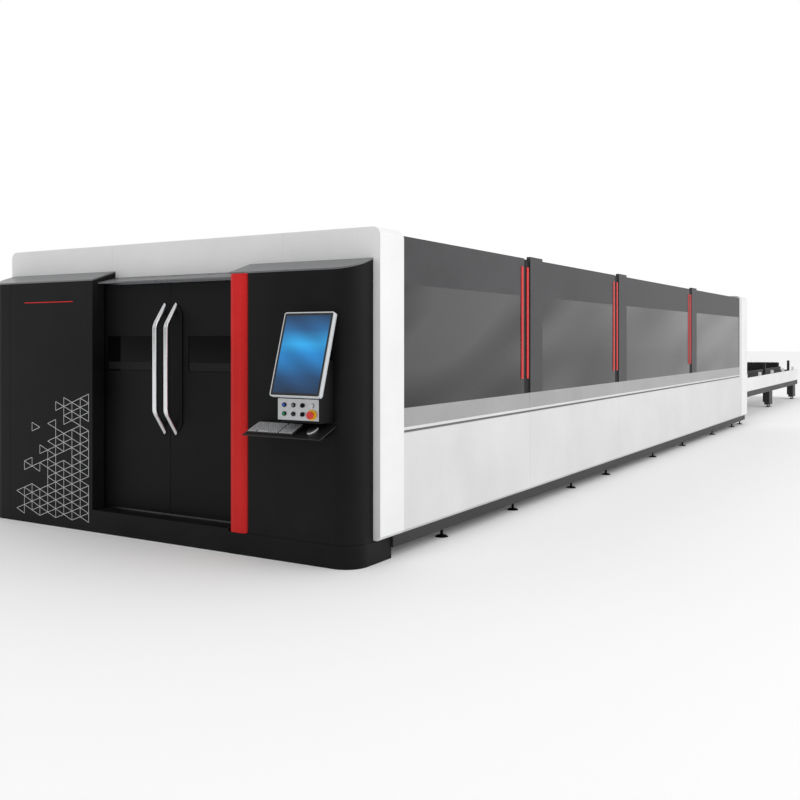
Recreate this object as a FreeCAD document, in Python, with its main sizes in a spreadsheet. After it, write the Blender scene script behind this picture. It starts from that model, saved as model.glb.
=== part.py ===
"""Fiber laser cutting machine with a fully enclosed cabin and a two-level exchange table.

Frame: millimetres, +X to the operator's right, +Y from the operator's front to the table,
+Z up. The origin is at the middle of the machine's footprint, on the floor.
"""
import FreeCAD, Part
import Sketcher
import os
import re

V = FreeCAD.Vector
DOC = FreeCAD.newDocument("laser_cutting_machine")
SHEET = DOC.addObject("Spreadsheet::Sheet", "sizes")

# ---------------------------------------------------------------- driving dimensions
SIZES = {
    # cabin
    "machine_width": 4070,       # across the portals
    "portal_top": 2420,          # height of the portals
    "portal_bottom": 172,        # underside of the portals
    "portal_deep": 330,          # front portal, front to back
    "portal_jamb": 180,          # width of a portal's upright
    "portal_lintel": 280,        # height of a portal's cross part
    "portal_corner": 65,         # radius of the portal's top corners
    "rear_strip_deep": 200,      # grey first part of the rear portal
    "rear_portal_deep": 700,     # rear portal with its grey part
    "sheet_wall": 4,             # folded sheet
    "bay_front": 2700,           # each of the two front bays
    "bay_rear": 3550,            # each of the two rear bays
    "seam": 3,                   # width of a panel joint
    # cabin sides
    "beam_bottom": 80,
    "beam_top": 200,
    "beam_inset": 40,
    "beam_wide": 120,
    "panel_thick": 40,
    "panel_bottom": 172,
    "panel_top": 918,
    "panel_chamfer": 25,
    "lip_bottom": 936,
    "lip_top": 958,
    "glass_bottom": 1100,
    "glass_thick": 12,
    "band_drop": 40,             # dark band below the portal's top
    "band_high": 356,            # dark band above the panes
    "post_drop": 15,             # posts below the portal's top
    "post_wide": 300,
    "side_inset": 8,             # dark side behind the portal's side face
    "channel_wide": 150,
    "channel_past": 20,          # channel past the bay joint
    "channel_back": 20,
    "channel_sunk": 10,          # channel's face behind the panes
    "channel_lap": 40,           # channel's board behind its neighbours
    "strip_edge": 30,            # red strip from the pane's edge
    "seam_left": 37,                # left fascia seam from the doorway
    "seam_right": 127,              # right fascia seam from the column
    "hanger_inset": 110,            # roller hanger from the leaf's edge
    "hanger_half": 12,
    "hook_half": 20,
    "screw_inset": 12,              # panel screws from its edges
    "tray_arm_inset": 120,          # tray's arms from its ends
    "keyboard_left": 14,
    "keyboard_front": 32,
    "divider_inset": 20,
    "divider_thick": 4,
    "divider_high": 8,
    "mouse_right": 168,             # mouse from the tray's right end
    "mouse_front": 62,
    "bed_pad_radius": 90,              # pads under the bed
    "bed_pad_top": 60,
    "bed_pad_thick": 25,
    "bed_pad_stem": 25,
    "bed_foot_inset": 150,          # first and last supports from the ends
    "beam_plate": 14,               # walls of the hollow gantry beam
    "beam_rail": 30,
    "beam_rail_deep": 20,
    "beam_rail_inset": 50,
    "table_leg_shift": 60,          # pads from each leg's ends
    "leg_spot_front": 300,          # table legs along the table
    "leg_spot_middle": 4784,
    "leg_spot_rear": 800,
    "tie_inset": 20,
    "source_side": 1050,            # laser source beside the bed
    "source_deep": 900,
    "source_high": 1500,
    "wall_lap": 30,                 # rear wall behind the lift door's edges
    "wall_sheet": 30,
    "strip_wide": 45,
    "strip_thick": 6,
    "strip_bottom": 1240,
    "strip_drop": 80,            # red strip below the band's top
    "roof_thick": 20,
    "tube": 80,                  # square tube of the cabin frame
    # levelling feet
    "foot_wide": 110,
    "foot_pad": 14,
    "foot_stem": 24,
    "foot_first": 1100,
    "foot_joint": 190,           # foot before a bay joint
    # front cabinets
    "cabinet_out": 250,          # in front of the portal
    "cabinet_inset": 60,         # beside the portal's edge
    "cabinet_corner": 170,
    "cabinet_wall": 3,
    "cabinet_drop": 303,         # cabinet's front edge below the portal's top
    "roof_rise": 80,
    "roof_sheet": 12,
    "plinth_top": 165,
    "plinth_back": 240,
    "plinth_proud": 4,           # plinth in front of the cabinet's face
    "left_out": 28,              # left cabinet beside the portal's edge
    "jamb_deep": 125,            # depth of the cabinet's return beside the doors
    "left_seam": 282,            # seam from the left cabinet's outer side
    "door_centre": 92,
    "door_clear": 1494,
    "column_wide": 190,
    "column_round": 60,
    "column_proud": 12,
    "sill_top": 185,
    # doors
    "leaf_front": 100,           # leaf face in front of the portal face
    "leaf_thick": 40,
    "leaf_bottom": 200,
    "leaf_drop": 11,             # leaf's top below the header
    "leaf_lap": 60,              # leaf hidden behind its jamb
    "leaf_gap": 4,
    "window_bottom": 1350,
    "window_top": 1640,
    "window_edge": 15,           # window to jamb line
    "window_left_stile": 168,    # left leaf, window to meeting edge
    "window_right_stile": 192,   # right leaf, window to meeting edge
    "window_thick": 8,
    "header_front": 190,
    "header_drop": 37,           # header below the cabinet's front edge
    "header_rise": 46,
    "header_sheet": 12,
    "track_wide": 50,
    "track_high": 30,
    "track_wall": 4,
    "track_slot": 14,
    "roller_wide": 16,
    "guide_wide": 18,
    "guide_high": 12,
    "plate_wide": 133,
    "plate_thick": 10,
    "plate_bottom": 866,
    "plate_high": 1026,
    "plate_round": 95,
    "handle_side": 60,           # handle from the meeting edge
    "handle_radius": 22,
    "handle_out": 110,           # handle axis in front of the leaf face
    "handle_low": 1030,
    "handle_high": 1720,
    "handle_bend": 90,
    "handle_lean": 34,           # each end from upright, in degrees
    "handle_spare": 40,          # cut off flush with the backing plate
    # operator console
    "console_left": 1465,
    "console_wide": 335,
    "console_out": 160,
    "console_bottom": 1030,
    "console_knee": 1380,
    "console_top": 1464,
    "monitor_wide": 436,
    "monitor_high": 617,
    "monitor_aside": 14,         # monitor to the right of the console's middle
    "monitor_down": 183,         # monitor's lower edge below the console's knee, along its back
    "monitor_thick": 38,
    "monitor_tilt": 17,
    "monitor_bezel": 14,
    "screen_thick": 3,
    "panel_wide": 355,
    "panel_aside": 14,           # button panel to the left of the console's middle
    "panel_high": 149,
    "panel_sheet": 4,
    "panel_low": 1047,
    "button_pitch": 80,
    "button_rows": 62,
    "button_first": 56,          # first column from the panel's left edge
    "button_low": 43,            # lower row from the panel's lower edge
    "button_radius": 12,
    "button_out": 14,
    "bezel_radius": 17,
    "bezel_out": 5,
    "play": 0.1,                 # running clearance round a button
    "button_in": 12,             # button's stem behind the panel's face
    "stop_radius": 27,
    "stop_disc": 38,
    "stop_out": 30,
    "tray_wide": 688,
    "tray_out": 217,
    "tray_deep": 228,
    "tray_thick": 6,
    "tray_tilt": 22,
    "tray_low": 922,
    "tray_left": 1155,
    "keyboard_wide": 425,
    "keyboard_deep": 165,
    "keyboard_thick": 18,
    "mouse_wide": 62,
    "mouse_long": 112,
    "mouse_thick": 34,
    # bed, gantry and cutting head
    "bed_start": 2600,
    "bed_end_gap": 750,          # bed's end from the enclosure's end
    "bed_clear": 60,             # bed's beam beside the pallet
    "bed_top": 760,
    "bed_bottom": 120,
    "bed_beam": 220,
    "bed_cross": 200,
    "rail_wide": 45,
    "rail_high": 40,
    "rack_wide": 30,
    "gantry_start": 3000,
    "gantry_deep": 300,
    "gantry_bottom": 1100,
    "gantry_high": 260,
    "truck_long": 620,
    "truck_wide": 150,
    "carriage_wide": 300,
    "carriage_thick": 70,
    "carriage_high": 380,
    "slide_wide": 150,
    "slide_thick": 60,
    "slide_high": 420,
    "head_radius": 45,
    "head_bottom": 1090,
    # pallets and exchange table
    "pallet_half": 1310,
    "pallet_length": 8200,
    "pallet_play": 30,           # pallet to the lift carriage's web
    "pallet_end_gap": 50,        # inner pallet from the bed's end
    "pallet_out": 270,           # outer pallet from the table's first edge
    "pallet_bottom": 480,
    "pallet_beam": 100,
    "pallet_high": 225,
    "slat_thick": 4,
    "slat_pitch": 200,
    "level_pitch": 300,
    "run_gap": 0.3,
    "ledge_wide": 100,
    "ledge_high": 50,
    "lift_web": 60,
    "table_length": 9200,
    "table_start": 30,           # table from the rear portal
    "table_rail_top": 780,
    "table_rail_bottom": 500,
    "table_rail_thick": 60,
    "table_beam_bottom": 380,
    "table_beam_wide": 120,
    "tie_deep": 50,              # cross ties at the table's ends
    "leg_long": 400,
    "leg_bottom": 60,
    "bracket_high": 90,
    "shoe_reach": 55,            # lift carriage to its guide posts
    "guide_post": 60,
    "guide_post_top": 1040,
    "rear_door_high": 850,
    "rear_door_side": 190,       # rear door past the pallet's side
    "rear_door_low": 1250,
    "rear_door_thick": 20,
}
for row, (alias, size) in enumerate(SIZES.items(), start=1):
    SHEET.set(f"A{row}", alias)
    SHEET.set(f"B{row}", str(size))
    SHEET.setAlias(f"B{row}", alias)
DOC.recompute()

# sizes that follow from the driving dimensions
DERIVED = {
    "band_top": "portal_top - band_drop",
    "post_top": "portal_top - post_drop",
    "glass_top": "band_top - band_high",
    "strip_top": "band_top - strip_drop",
    "cabinet_top": "portal_top - cabinet_drop",
    "header_bottom": "cabinet_top - header_drop",
    "leaf_top": "header_bottom - leaf_drop",
    "enclosure": "2 * bay_front + 2 * bay_rear + rear_portal_deep",
    "bed_length": "enclosure - bed_start - bed_end_gap",
    "bed_inner": "pallet_half + bed_clear",
    "pallet_start": "bed_start + bed_length - pallet_end_gap - pallet_length",
    "pallet_travel": "enclosure + table_start + pallet_out - pallet_start",
    "web_inner": "pallet_half + pallet_play",
    "table_half": "web_inner + lift_web + shoe_reach + guide_post + table_beam_wide",
    "rear_door_half": "pallet_half + rear_door_side",
    "monitor_reach": "console_out + monitor_down * sin(monitor_tilt * 1deg)"
                     " + (monitor_thick + run_gap) * cos(monitor_tilt * 1deg)",
}
FUNCTIONS = ("sin", "cos", "tan", "sqrt", "max", "deg")
NODES = []


def size(alias):
    """A driving dimension as a number, for loop counts and finding edges."""
    return float(getattr(SHEET, alias))


def bound(formula):
    """A formula of size names as an expression on the sheet."""
    def word(match):
        name = match.group(0)
        if name in DERIVED:
            return "(" + bound(DERIVED[name]) + ")"
        return name if name in FUNCTIONS else "sizes." + name
    return re.sub(r"[a-z][a-z_]+", word, str(formula))


def place(thing, x, y, z, rotation=None):
    """Give a thing its rotation, then bind its position."""
    thing.Placement = FreeCAD.Placement(V(0, 0, 0), rotation or FreeCAD.Rotation())
    thing.setExpression("Placement.Base.x", bound(x))
    thing.setExpression("Placement.Base.y", bound(y))
    thing.setExpression("Placement.Base.z", bound(z))
    return thing


def box(x, y, z, dx, dy, dz, rotation=None):
    """A box from its low corner and its three lengths."""
    thing = DOC.addObject("Part::Box", "block")
    thing.setExpression("Length", bound(dx))
    thing.setExpression("Width", bound(dy))
    thing.setExpression("Height", bound(dz))
    return place(thing, x, y, z, rotation)


def span(x0, x1, y0, y1, z0, z1):
    """A box between two values on each axis."""
    return box(x0, y0, z0, f"({x1}) - ({x0})", f"({y1}) - ({y0})", f"({z1}) - ({z0})")


UP = FreeCAD.Rotation()
BACKWARD = FreeCAD.Rotation(V(1, 0, 0), -90)
FORWARD = FreeCAD.Rotation(V(1, 0, 0), 90)


def rod(x, y, z, radius, length, rotation=UP):
    """A cylinder from the centre of its first end."""
    thing = DOC.addObject("Part::Cylinder", "rod")
    thing.setExpression("Radius", bound(radius))
    thing.setExpression("Height", bound(length))
    return place(thing, x, y, z, rotation)


def taper(x, y, z, first, second, length, rotation=UP):
    """A cone frustum from the centre of its first end."""
    thing = DOC.addObject("Part::Cone", "taper")
    thing.setExpression("Radius1", bound(first))
    thing.setExpression("Radius2", bound(second))
    thing.setExpression("Height", bound(length))
    return place(thing, x, y, z, rotation)


def origin_plane(body, role):
    """The body's own origin plane with this role."""
    return [item for item in body.Origin.OriginFeatures if item.Role == role][0]


def edge_along(shape, point, direction):
    """The name of the edge through a point along a direction."""
    for number, edge in enumerate(shape.Edges, start=1):
        if len(edge.Vertexes) != 2:
            continue
        run = edge.Vertexes[1].Point - edge.Vertexes[0].Point
        if run.getAngle(direction) > 1e-4 and run.getAngle(direction * -1) > 1e-4:
            continue
        if edge.Vertexes[0].Point.distanceToLine(point, direction) < 1e-3:
            return f"Edge{number}"
    raise ValueError("no edge at this corner")


def prism(plane, corners, start, length, rounds=None):
    """A padded outline. plane is XY, XZ or YZ; corners are (u, v) formulas.

    start and length run along the third axis. rounds maps a corner's number to a radius.
    """
    body = DOC.addObject("PartDesign::Body", "folded")
    sketch = body.newObject("Sketcher::SketchObject", "outline")
    sketch.AttachmentSupport = [(origin_plane(body, plane + "_Plane"), "")]
    sketch.MapMode = "FlatFace"
    flip = plane == "XZ"
    sketch.setExpression("AttachmentOffset.Base.z", bound(f"-({start})" if flip else start))
    count = len(corners)
    guess = [V(10 * number, (number % 2) * 7, 0) for number in range(count)]
    for number in range(count):
        sketch.addGeometry(Part.LineSegment(guess[number], guess[(number + 1) % count]))
    for number in range(count):
        sketch.addConstraint(Sketcher.Constraint("Coincident", number, 2, (number + 1) % count, 1))
    for number, corner in enumerate(corners):
        for kind, formula in zip(("DistanceX", "DistanceY"), corner):
            row = sketch.addConstraint(Sketcher.Constraint(kind, -1, 1, number, 1, 1.0))
            sketch.setExpression(f"Constraints[{row}]", bound(formula))
    pad = body.newObject("PartDesign::Pad", "pad")
    pad.Profile = sketch
    pad.Reversed = flip
    pad.setExpression("Length", bound(length))
    DOC.recompute()
    for number, radius in (rounds or {}).items():
        corner = sketch.Placement.multVec(sketch.getPoint(number, 1))
        direction = sketch.Placement.Rotation.multVec(V(0, 0, 1))
        tip = body.Tip
        fillet = body.newObject("PartDesign::Fillet", "round")
        fillet.Base = (tip, [edge_along(tip.Shape, corner, direction)])
        fillet.setExpression("Radius", bound(radius))
        DOC.recompute()
    return body


def fuse(things):
    """Several touching things as one solid."""
    joined = DOC.addObject("Part::MultiFuse", "welded")
    joined.Shapes = things
    joined.Refine = True
    return joined


def cut(base, tools):
    """A thing with others taken away."""
    for tool in tools:
        less = DOC.addObject("Part::Cut", "cut")
        less.Base = base
        less.Tool = tool
        base = less
    return base


def keep(label, things):
    """Register a sub-part: one thing, or a group of separate solids."""
    if isinstance(things, list):
        group = DOC.addObject("Part::Compound", label)
        group.Links = things
        things = group
    things.Label = label
    NODES.append(things)
    return things


# ---------------------------------------------------------------- shared places
HALF = "machine_width / 2"
FACE = f"((cabinet_out + max(tray_out; monitor_reach) - enclosure - table_length) / 2)"
PORTAL_BACK = f"({FACE} + portal_deep)"
JOINTS = [f"({FACE} + {n} * bay_front)" for n in (1, 2)]
JOINTS += [f"({FACE} + 2 * bay_front + {n} * bay_rear)" for n in (1, 2)]
REAR = f"({FACE} + enclosure)"
LEFT_JAMB = "(door_centre - door_clear / 2)"
RIGHT_JAMB = "(door_centre + door_clear / 2)"
COLUMN_RIGHT = f"({RIGHT_JAMB} + column_wide)"
CABINET_FRONT = f"({FACE} - cabinet_out)"
BAYS = [(PORTAL_BACK, JOINTS[0]), (JOINTS[0], JOINTS[1]), (JOINTS[1], JOINTS[2]), (JOINTS[2], JOINTS[3])]
SIDES = (1, -1)


def side_span(side, near, far, y0, y1, z0, z1):
    """A box at one side, given by two distances inward from the portal's side face."""
    if side > 0:
        return span(f"{HALF} - ({far})", f"{HALF} - ({near})", y0, y1, z0, z1)
    return span(f"({near}) - {HALF}", f"({far}) - {HALF}", y0, y1, z0, z1)


def side_point(side, inward, z):
    """A corner of a side profile, given by its distance inward from the side face."""
    return (f"{side} * ({HALF} - ({inward}))", z)


# ---------------------------------------------------------------- portals
def portal(start, deep, wall):
    """An inverted U of folded sheet, open to the back, with rounded top corners."""
    def outline(inset, foot):
        low = f"portal_bottom - {foot}"
        chamfer = "panel_chamfer"
        inner = f"(portal_jamb - ({inset}))"
        under = f"portal_top - portal_lintel + ({inset})"
        right = [
            side_point(1, inner, under), side_point(1, inner, low),
            side_point(1, f"{inset} + {chamfer}", low),
            side_point(1, inset, f"{low} + {chamfer}"), side_point(1, inset, f"portal_top - ({inset})")]
        left = [(f"-1 * ({x})", z) for x, z in reversed(right)]
        return right + left
    corner = {4: "portal_corner", 5: "portal_corner"}
    inner_corner = {4: f"portal_corner - {wall}", 5: f"portal_corner - {wall}"}
    skin = prism("XZ", outline("0", "0"), start, deep, corner)
    hollow = prism("XZ", outline(wall, "1"), f"{start} + {wall}", deep, inner_corner)
    return cut(skin, [hollow])


def fascia_seam(x):
    """A shallow upright seam in the front portal's cross part."""
    return span(f"({x}) - seam / 2", f"({x}) + seam / 2", f"{FACE} - 1", f"{FACE} + 2",
                "portal_top - portal_lintel - 1", "portal_top + 1")


keep("front_portal", cut(portal(FACE, "portal_deep", "sheet_wall"),
                         [fascia_seam(f"{LEFT_JAMB} - seam_left"),
                          fascia_seam(f"{COLUMN_RIGHT} + seam_right")]))
keep("rear_portal_strip", portal(JOINTS[3], "rear_strip_deep", "sheet_wall"))
keep("rear_portal", portal(f"{JOINTS[3]} + rear_strip_deep", "rear_portal_deep - rear_strip_deep",
                           "sheet_wall"))

# ---------------------------------------------------------------- base beams and feet
beams = []
feet = []
for side in SIDES:
    starts = [f"{FACE} + plinth_back"] + JOINTS[:3] + [JOINTS[3]]
    ends = JOINTS + [REAR]
    for first, last in zip(starts, ends):
        top = "portal_bottom" if last == REAR else "beam_top"
        beams.append(side_span(side, "beam_inset", "beam_inset + beam_wide", first,
                               f"{last} - seam", "beam_bottom", top))
    places = [f"{FACE} + foot_first"]
    places += [f"({first} + {last}) / 2" for first, last in zip(JOINTS[:3], JOINTS[1:])]
    places += [f"{joint} - foot_joint" for joint in JOINTS] + [f"{REAR} - foot_joint"]
    for spot in places:
        middle = f"{side} * ({HALF} - beam_inset - beam_wide / 2)"
        pad = taper(middle, spot, "0", "foot_wide / 2", "foot_wide / 3", "foot_pad")
        stem = rod(middle, spot, "foot_pad", "foot_stem / 2", "beam_bottom - foot_pad")
        feet.append(fuse([pad, stem]))
keep("base_beams", beams)

# ---------------------------------------------------------------- cabin sides
lower_panels = []
lips = []
ledges = []
frames = []
windows = []
channels = []
strips = []
for side in SIDES:
    for bay, (first, last) in enumerate(BAYS):
        length = f"{last} - ({first}) - seam"
        panel = [side_point(side, "panel_chamfer", "panel_bottom"),
                 side_point(side, "0", "panel_bottom + panel_chamfer"),
                 side_point(side, "0", "panel_top - 6"), side_point(side, "6", "panel_top"),
                 side_point(side, "panel_thick", "panel_top"),
                 side_point(side, "panel_thick", "panel_bottom")]
        lower_panels.append(prism("XZ", panel, first, length))
        ledge = [side_point(side, "2", "lip_top"), side_point(side, "side_inset", "glass_bottom"),
                 side_point(side, "side_inset + panel_thick", "glass_bottom"),
                 side_point(side, "side_inset + panel_thick", "lip_top")]
        ledges.append(prism("XZ", ledge, first, length))
        lip = [side_point(side, "0", "lip_bottom"), side_point(side, "0", "lip_top"),
               side_point(side, "panel_thick", "lip_top"), side_point(side, "panel_thick", "panel_top"),
               side_point(side, "8", "panel_top"), side_point(side, "8", "lip_bottom")]
        lips.append(prism("XZ", lip, first, length))
        inner = "side_inset + panel_thick"
        last_bay = bay == len(BAYS) - 1
        end = last if last_bay else f"{last} + channel_past - channel_wide"
        band_start = first if bay == 0 else f"{first} + channel_past + post_wide"
        band = side_span(side, "side_inset", inner, band_start, end, "glass_top", "band_top")
        if bay == 0:
            frames.append(band)
        else:
            post = side_span(side, "side_inset", inner, f"{first} + channel_past", band_start,
                             "glass_bottom", "post_top")
            frames.append(fuse([band, post]))
        windows.append(side_span(side, "side_inset", "side_inset + glass_thick", band_start, end,
                                 "glass_bottom", "glass_top"))
        if last_bay:
            continue
        board = side_span(side, inner, f"{inner} + channel_back", f"{end} - channel_lap",
                          f"{last} + channel_past + channel_lap", "lip_top", "band_top - roof_thick")
        upright = side_span(side, "side_inset + channel_sunk", inner, end, f"{last} + channel_past",
                            "glass_bottom", "band_top - roof_thick")
        channels.append(fuse([board, upright]))
        strips.append(side_span(side, "side_inset - strip_thick", "side_inset",
                                f"{end} - strip_edge - strip_wide", f"{end} - strip_edge",
                                "strip_bottom", "strip_top"))
        strips.append(side_span(side, "side_inset + channel_sunk - strip_thick", "side_inset + channel_sunk",
                                f"{last} + channel_past - strip_edge - strip_wide",
                                f"{last} + channel_past - strip_edge", "strip_bottom", "strip_top"))
keep("side_lower_panels", lower_panels + lips)
keep("side_ledges", ledges)
keep("side_upper_frames", frames)
keep("side_windows", windows)
keep("red_side_strips", strips)

# ---------------------------------------------------------------- cabin frame and roof
TUBE_OUT = "(side_inset + panel_thick + channel_back)"
tubes = []
for side in SIDES:
    inner = f"{TUBE_OUT} + tube"
    tubes.append(side_span(side, TUBE_OUT, inner, PORTAL_BACK, JOINTS[3],
                           "band_top - roof_thick - tube", "band_top - roof_thick"))
    tubes.append(side_span(side, TUBE_OUT, inner, PORTAL_BACK, JOINTS[3], "beam_top",
                           "beam_top + tube"))
    for joint in JOINTS[:3]:
        tubes.append(side_span(side, TUBE_OUT, inner, f"{joint} - tube / 2", f"{joint} + tube / 2",
                               "beam_top + tube", "band_top - roof_thick - tube"))
for joint in JOINTS[:3]:
    tubes.append(span(f"{TUBE_OUT} + tube - {HALF}", f"{HALF} - {TUBE_OUT} - tube",
                      f"{joint} - tube / 2", f"{joint} + tube / 2",
                      "band_top - roof_thick - tube", "band_top - roof_thick"))
keep("cabin_frame", [fuse(tubes)] + channels)
keep("roof_panels", [span(f"side_inset + panel_thick - {HALF}", f"{HALF} - side_inset - panel_thick",
                          first, f"{last} - seam", "band_top - roof_thick", "band_top")
                     for first, last in BAYS])

# ---------------------------------------------------------------- front cabinets
SLOPE = "(roof_rise / cabinet_out)"


def outline(x0, x1, y0, y1, corner, z0, z1, inset="0"):
    """An upright block with one rounded front corner: number 0 or 1."""
    corners = [(x0, y0), (x1, y0), (x1, y1), (x0, y1)]
    return prism("XY", corners, z0, f"{z1} - ({z0})", {corner: f"cabinet_corner - {inset}"})


def above_roof(x0, x1, down):
    """Everything above the sloping roof's plane, lowered by a distance."""
    ahead = "50"
    low = f"cabinet_top - ({down}) - {ahead} * {SLOPE}"
    high = f"cabinet_top - ({down}) + roof_rise + {ahead} * {SLOPE}"
    corners = [(f"{CABINET_FRONT} - {ahead}", low), (f"{FACE} + {ahead}", high),
               (f"{FACE} + {ahead}", "portal_top + 200"), (f"{CABINET_FRONT} - {ahead}", "portal_top + 200")]
    return prism("YZ", corners, f"{x0} - 10", f"{x1} - ({x0}) + 20")


def cabinet(x0, x1, corner, bottom, door_side):
    """A folded shell with a sloping top, open to the back and where the door leaf enters."""
    top = "cabinet_top + roof_rise"
    skin = outline(x0, x1, CABINET_FRONT, FACE, corner, bottom, top)
    hollow = outline(f"{x0} + cabinet_wall", f"{x1} - cabinet_wall", f"{CABINET_FRONT} + cabinet_wall",
                     f"{FACE} + 5", corner, f"{bottom} + cabinet_wall", f"{top} + 5", "cabinet_wall")
    way = span(f"{door_side} - 10", f"{door_side} + 10", f"{FACE} - jamb_deep", f"{FACE} + 5",
               "sill_top", "header_bottom + track_high")
    return cut(skin, [hollow, above_roof(x0, x1, "roof_sheet"), way])


def roof(x0, x1, corner):
    """The sloping top sheet of a cabinet."""
    top = "cabinet_top + roof_rise"
    block = outline(x0, x1, CABINET_FRONT, FACE, corner, "cabinet_top - 40", top)
    under = prism("YZ", [(f"{CABINET_FRONT} - 50", f"cabinet_top - roof_sheet - 50 * {SLOPE}"),
                         (f"{FACE} + 50", f"cabinet_top - roof_sheet + roof_rise + 50 * {SLOPE}"),
                         (f"{FACE} + 50", "cabinet_top - 60"), (f"{CABINET_FRONT} - 50", "cabinet_top - 60")],
                  f"{x0} - 10", f"{x1} - ({x0}) + 20")
    return cut(block, [above_roof(x0, x1, "0"), under])


LEFT_OUT = f"(left_out - {HALF})"
RIGHT_OUT = f"({HALF} - cabinet_inset)"
left_seam = span(f"{LEFT_OUT} + left_seam", f"{LEFT_OUT} + left_seam + seam", f"{CABINET_FRONT} - 1",
                 f"{CABINET_FRONT} + 1.5", "-1", "cabinet_top + 10")
keep("left_cabinet", cut(cabinet(LEFT_OUT, LEFT_JAMB, 0, "0", LEFT_JAMB), [left_seam]))
keep("right_cabinet", cabinet(COLUMN_RIGHT, RIGHT_OUT, 1, "plinth_top", COLUMN_RIGHT))
keep("cabinet_roofs", [roof(LEFT_OUT, LEFT_JAMB, 0), roof(RIGHT_JAMB, RIGHT_OUT, 1)])

PLINTH_FRONT = f"({CABINET_FRONT} - plinth_proud)"
PLINTH_RIGHT = f"({RIGHT_OUT} + plinth_proud)"
right_plinth = cut(outline(RIGHT_JAMB, PLINTH_RIGHT, PLINTH_FRONT, f"{FACE} + plinth_back", 1,
                           "0", "plinth_top"),
                   [outline(f"{RIGHT_JAMB} + sheet_wall", f"{PLINTH_RIGHT} - sheet_wall",
                            f"{PLINTH_FRONT} + sheet_wall", f"{FACE} + plinth_back - sheet_wall", 1,
                            "-5", "plinth_top - sheet_wall", "sheet_wall")])
left_plinth = cut(span(LEFT_OUT, LEFT_JAMB, FACE, f"{FACE} + plinth_back", "0", "plinth_top"),
                  [span(f"{LEFT_OUT} + sheet_wall", f"{LEFT_JAMB} - sheet_wall", f"{FACE} + sheet_wall",
                        f"{FACE} + plinth_back - sheet_wall", "-5", "plinth_top - sheet_wall")])
sill = cut(span(LEFT_JAMB, RIGHT_JAMB, CABINET_FRONT, f"{FACE} + plinth_back", "0", "sill_top"),
           [span(f"{LEFT_JAMB} + sheet_wall", f"{RIGHT_JAMB} - sheet_wall", f"{CABINET_FRONT} + sheet_wall",
                 f"{FACE} + plinth_back - sheet_wall", "-5", "sill_top - sheet_wall")])
keep("front_plinths", [sill, right_plinth, left_plinth])


def column(inset, z0, z1):
    """The rounded upright between the doors and the right cabinet."""
    front = f"{CABINET_FRONT} - column_proud + {inset}"
    corners = [(f"{RIGHT_JAMB} + {inset}", front), (f"{COLUMN_RIGHT} - {inset}", front),
               (f"{COLUMN_RIGHT} - {inset}", f"{FACE} - jamb_deep + {inset} * 3"),
               (f"{RIGHT_JAMB} + {inset}", f"{FACE} - jamb_deep + {inset} * 3")]
    return prism("XY", corners, z0, f"{z1} - ({z0})",
                 {0: f"column_round - {inset}", 1: f"column_round - {inset}"})


keep("red_column", cut(column("0", "plinth_top", "cabinet_top - roof_sheet"),
                       [column("cabinet_wall", "plinth_top - 5", "cabinet_top + 5")]))

# ---------------------------------------------------------------- door header, track and guide
header = [(f"{FACE} - header_front", "header_bottom"),
          (f"{FACE} - header_front", "header_bottom + header_sheet"),
          (FACE, "header_bottom + header_sheet + header_rise"), (FACE, "header_bottom + header_rise"),
          (f"{FACE} - 20", "header_bottom + header_rise - 4"),
          (f"{FACE} - header_front + 12", "header_bottom + 6"),
          (f"{FACE} - header_front + 12", "header_bottom")]
header_sheet = keep("door_header", prism("YZ", header, LEFT_JAMB, "door_clear"))
LEAF_MIDDLE = f"({FACE} - leaf_front + leaf_thick / 2)"
TRACK_BOTTOM = "(leaf_top + 3)"
track = cut(span(f"{LEFT_JAMB} - door_clear / 2", f"{COLUMN_RIGHT} + door_clear / 2 - column_wide",
                 f"{LEAF_MIDDLE} - track_wide / 2", f"{LEAF_MIDDLE} + track_wide / 2",
                 TRACK_BOTTOM, f"{TRACK_BOTTOM} + track_high"),
            [span(f"{LEFT_JAMB} - door_clear", f"{COLUMN_RIGHT} + door_clear",
                  f"{LEAF_MIDDLE} - track_wide / 2 + track_wall",
                  f"{LEAF_MIDDLE} + track_wide / 2 - track_wall",
                  f"{TRACK_BOTTOM} + track_wall", f"{TRACK_BOTTOM} + track_high - track_wall"),
             span(f"{LEFT_JAMB} - door_clear", f"{COLUMN_RIGHT} + door_clear",
                  f"{LEAF_MIDDLE} - track_slot / 2", f"{LEAF_MIDDLE} + track_slot / 2",
                  f"{TRACK_BOTTOM} - 1", f"{TRACK_BOTTOM} + track_wall + 1")])
guide = span(LEFT_JAMB, RIGHT_JAMB, f"{LEAF_MIDDLE} - guide_wide / 2",
             f"{LEAF_MIDDLE} + guide_wide / 2", "sill_top", "sill_top + guide_high")
hooks = [cut(span(f"{LEFT_JAMB} + {number} * door_clear / 4 - hook_half",
                  f"{LEFT_JAMB} + {number} * door_clear / 4 + hook_half",
                  f"{LEAF_MIDDLE} + track_wide / 2", f"{FACE} - 30", TRACK_BOTTOM, "header_bottom + 48"),
             [header_sheet]) for number in (1, 2, 3)]
keep("door_track_and_guide", [fuse([track] + hooks), guide])


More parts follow.
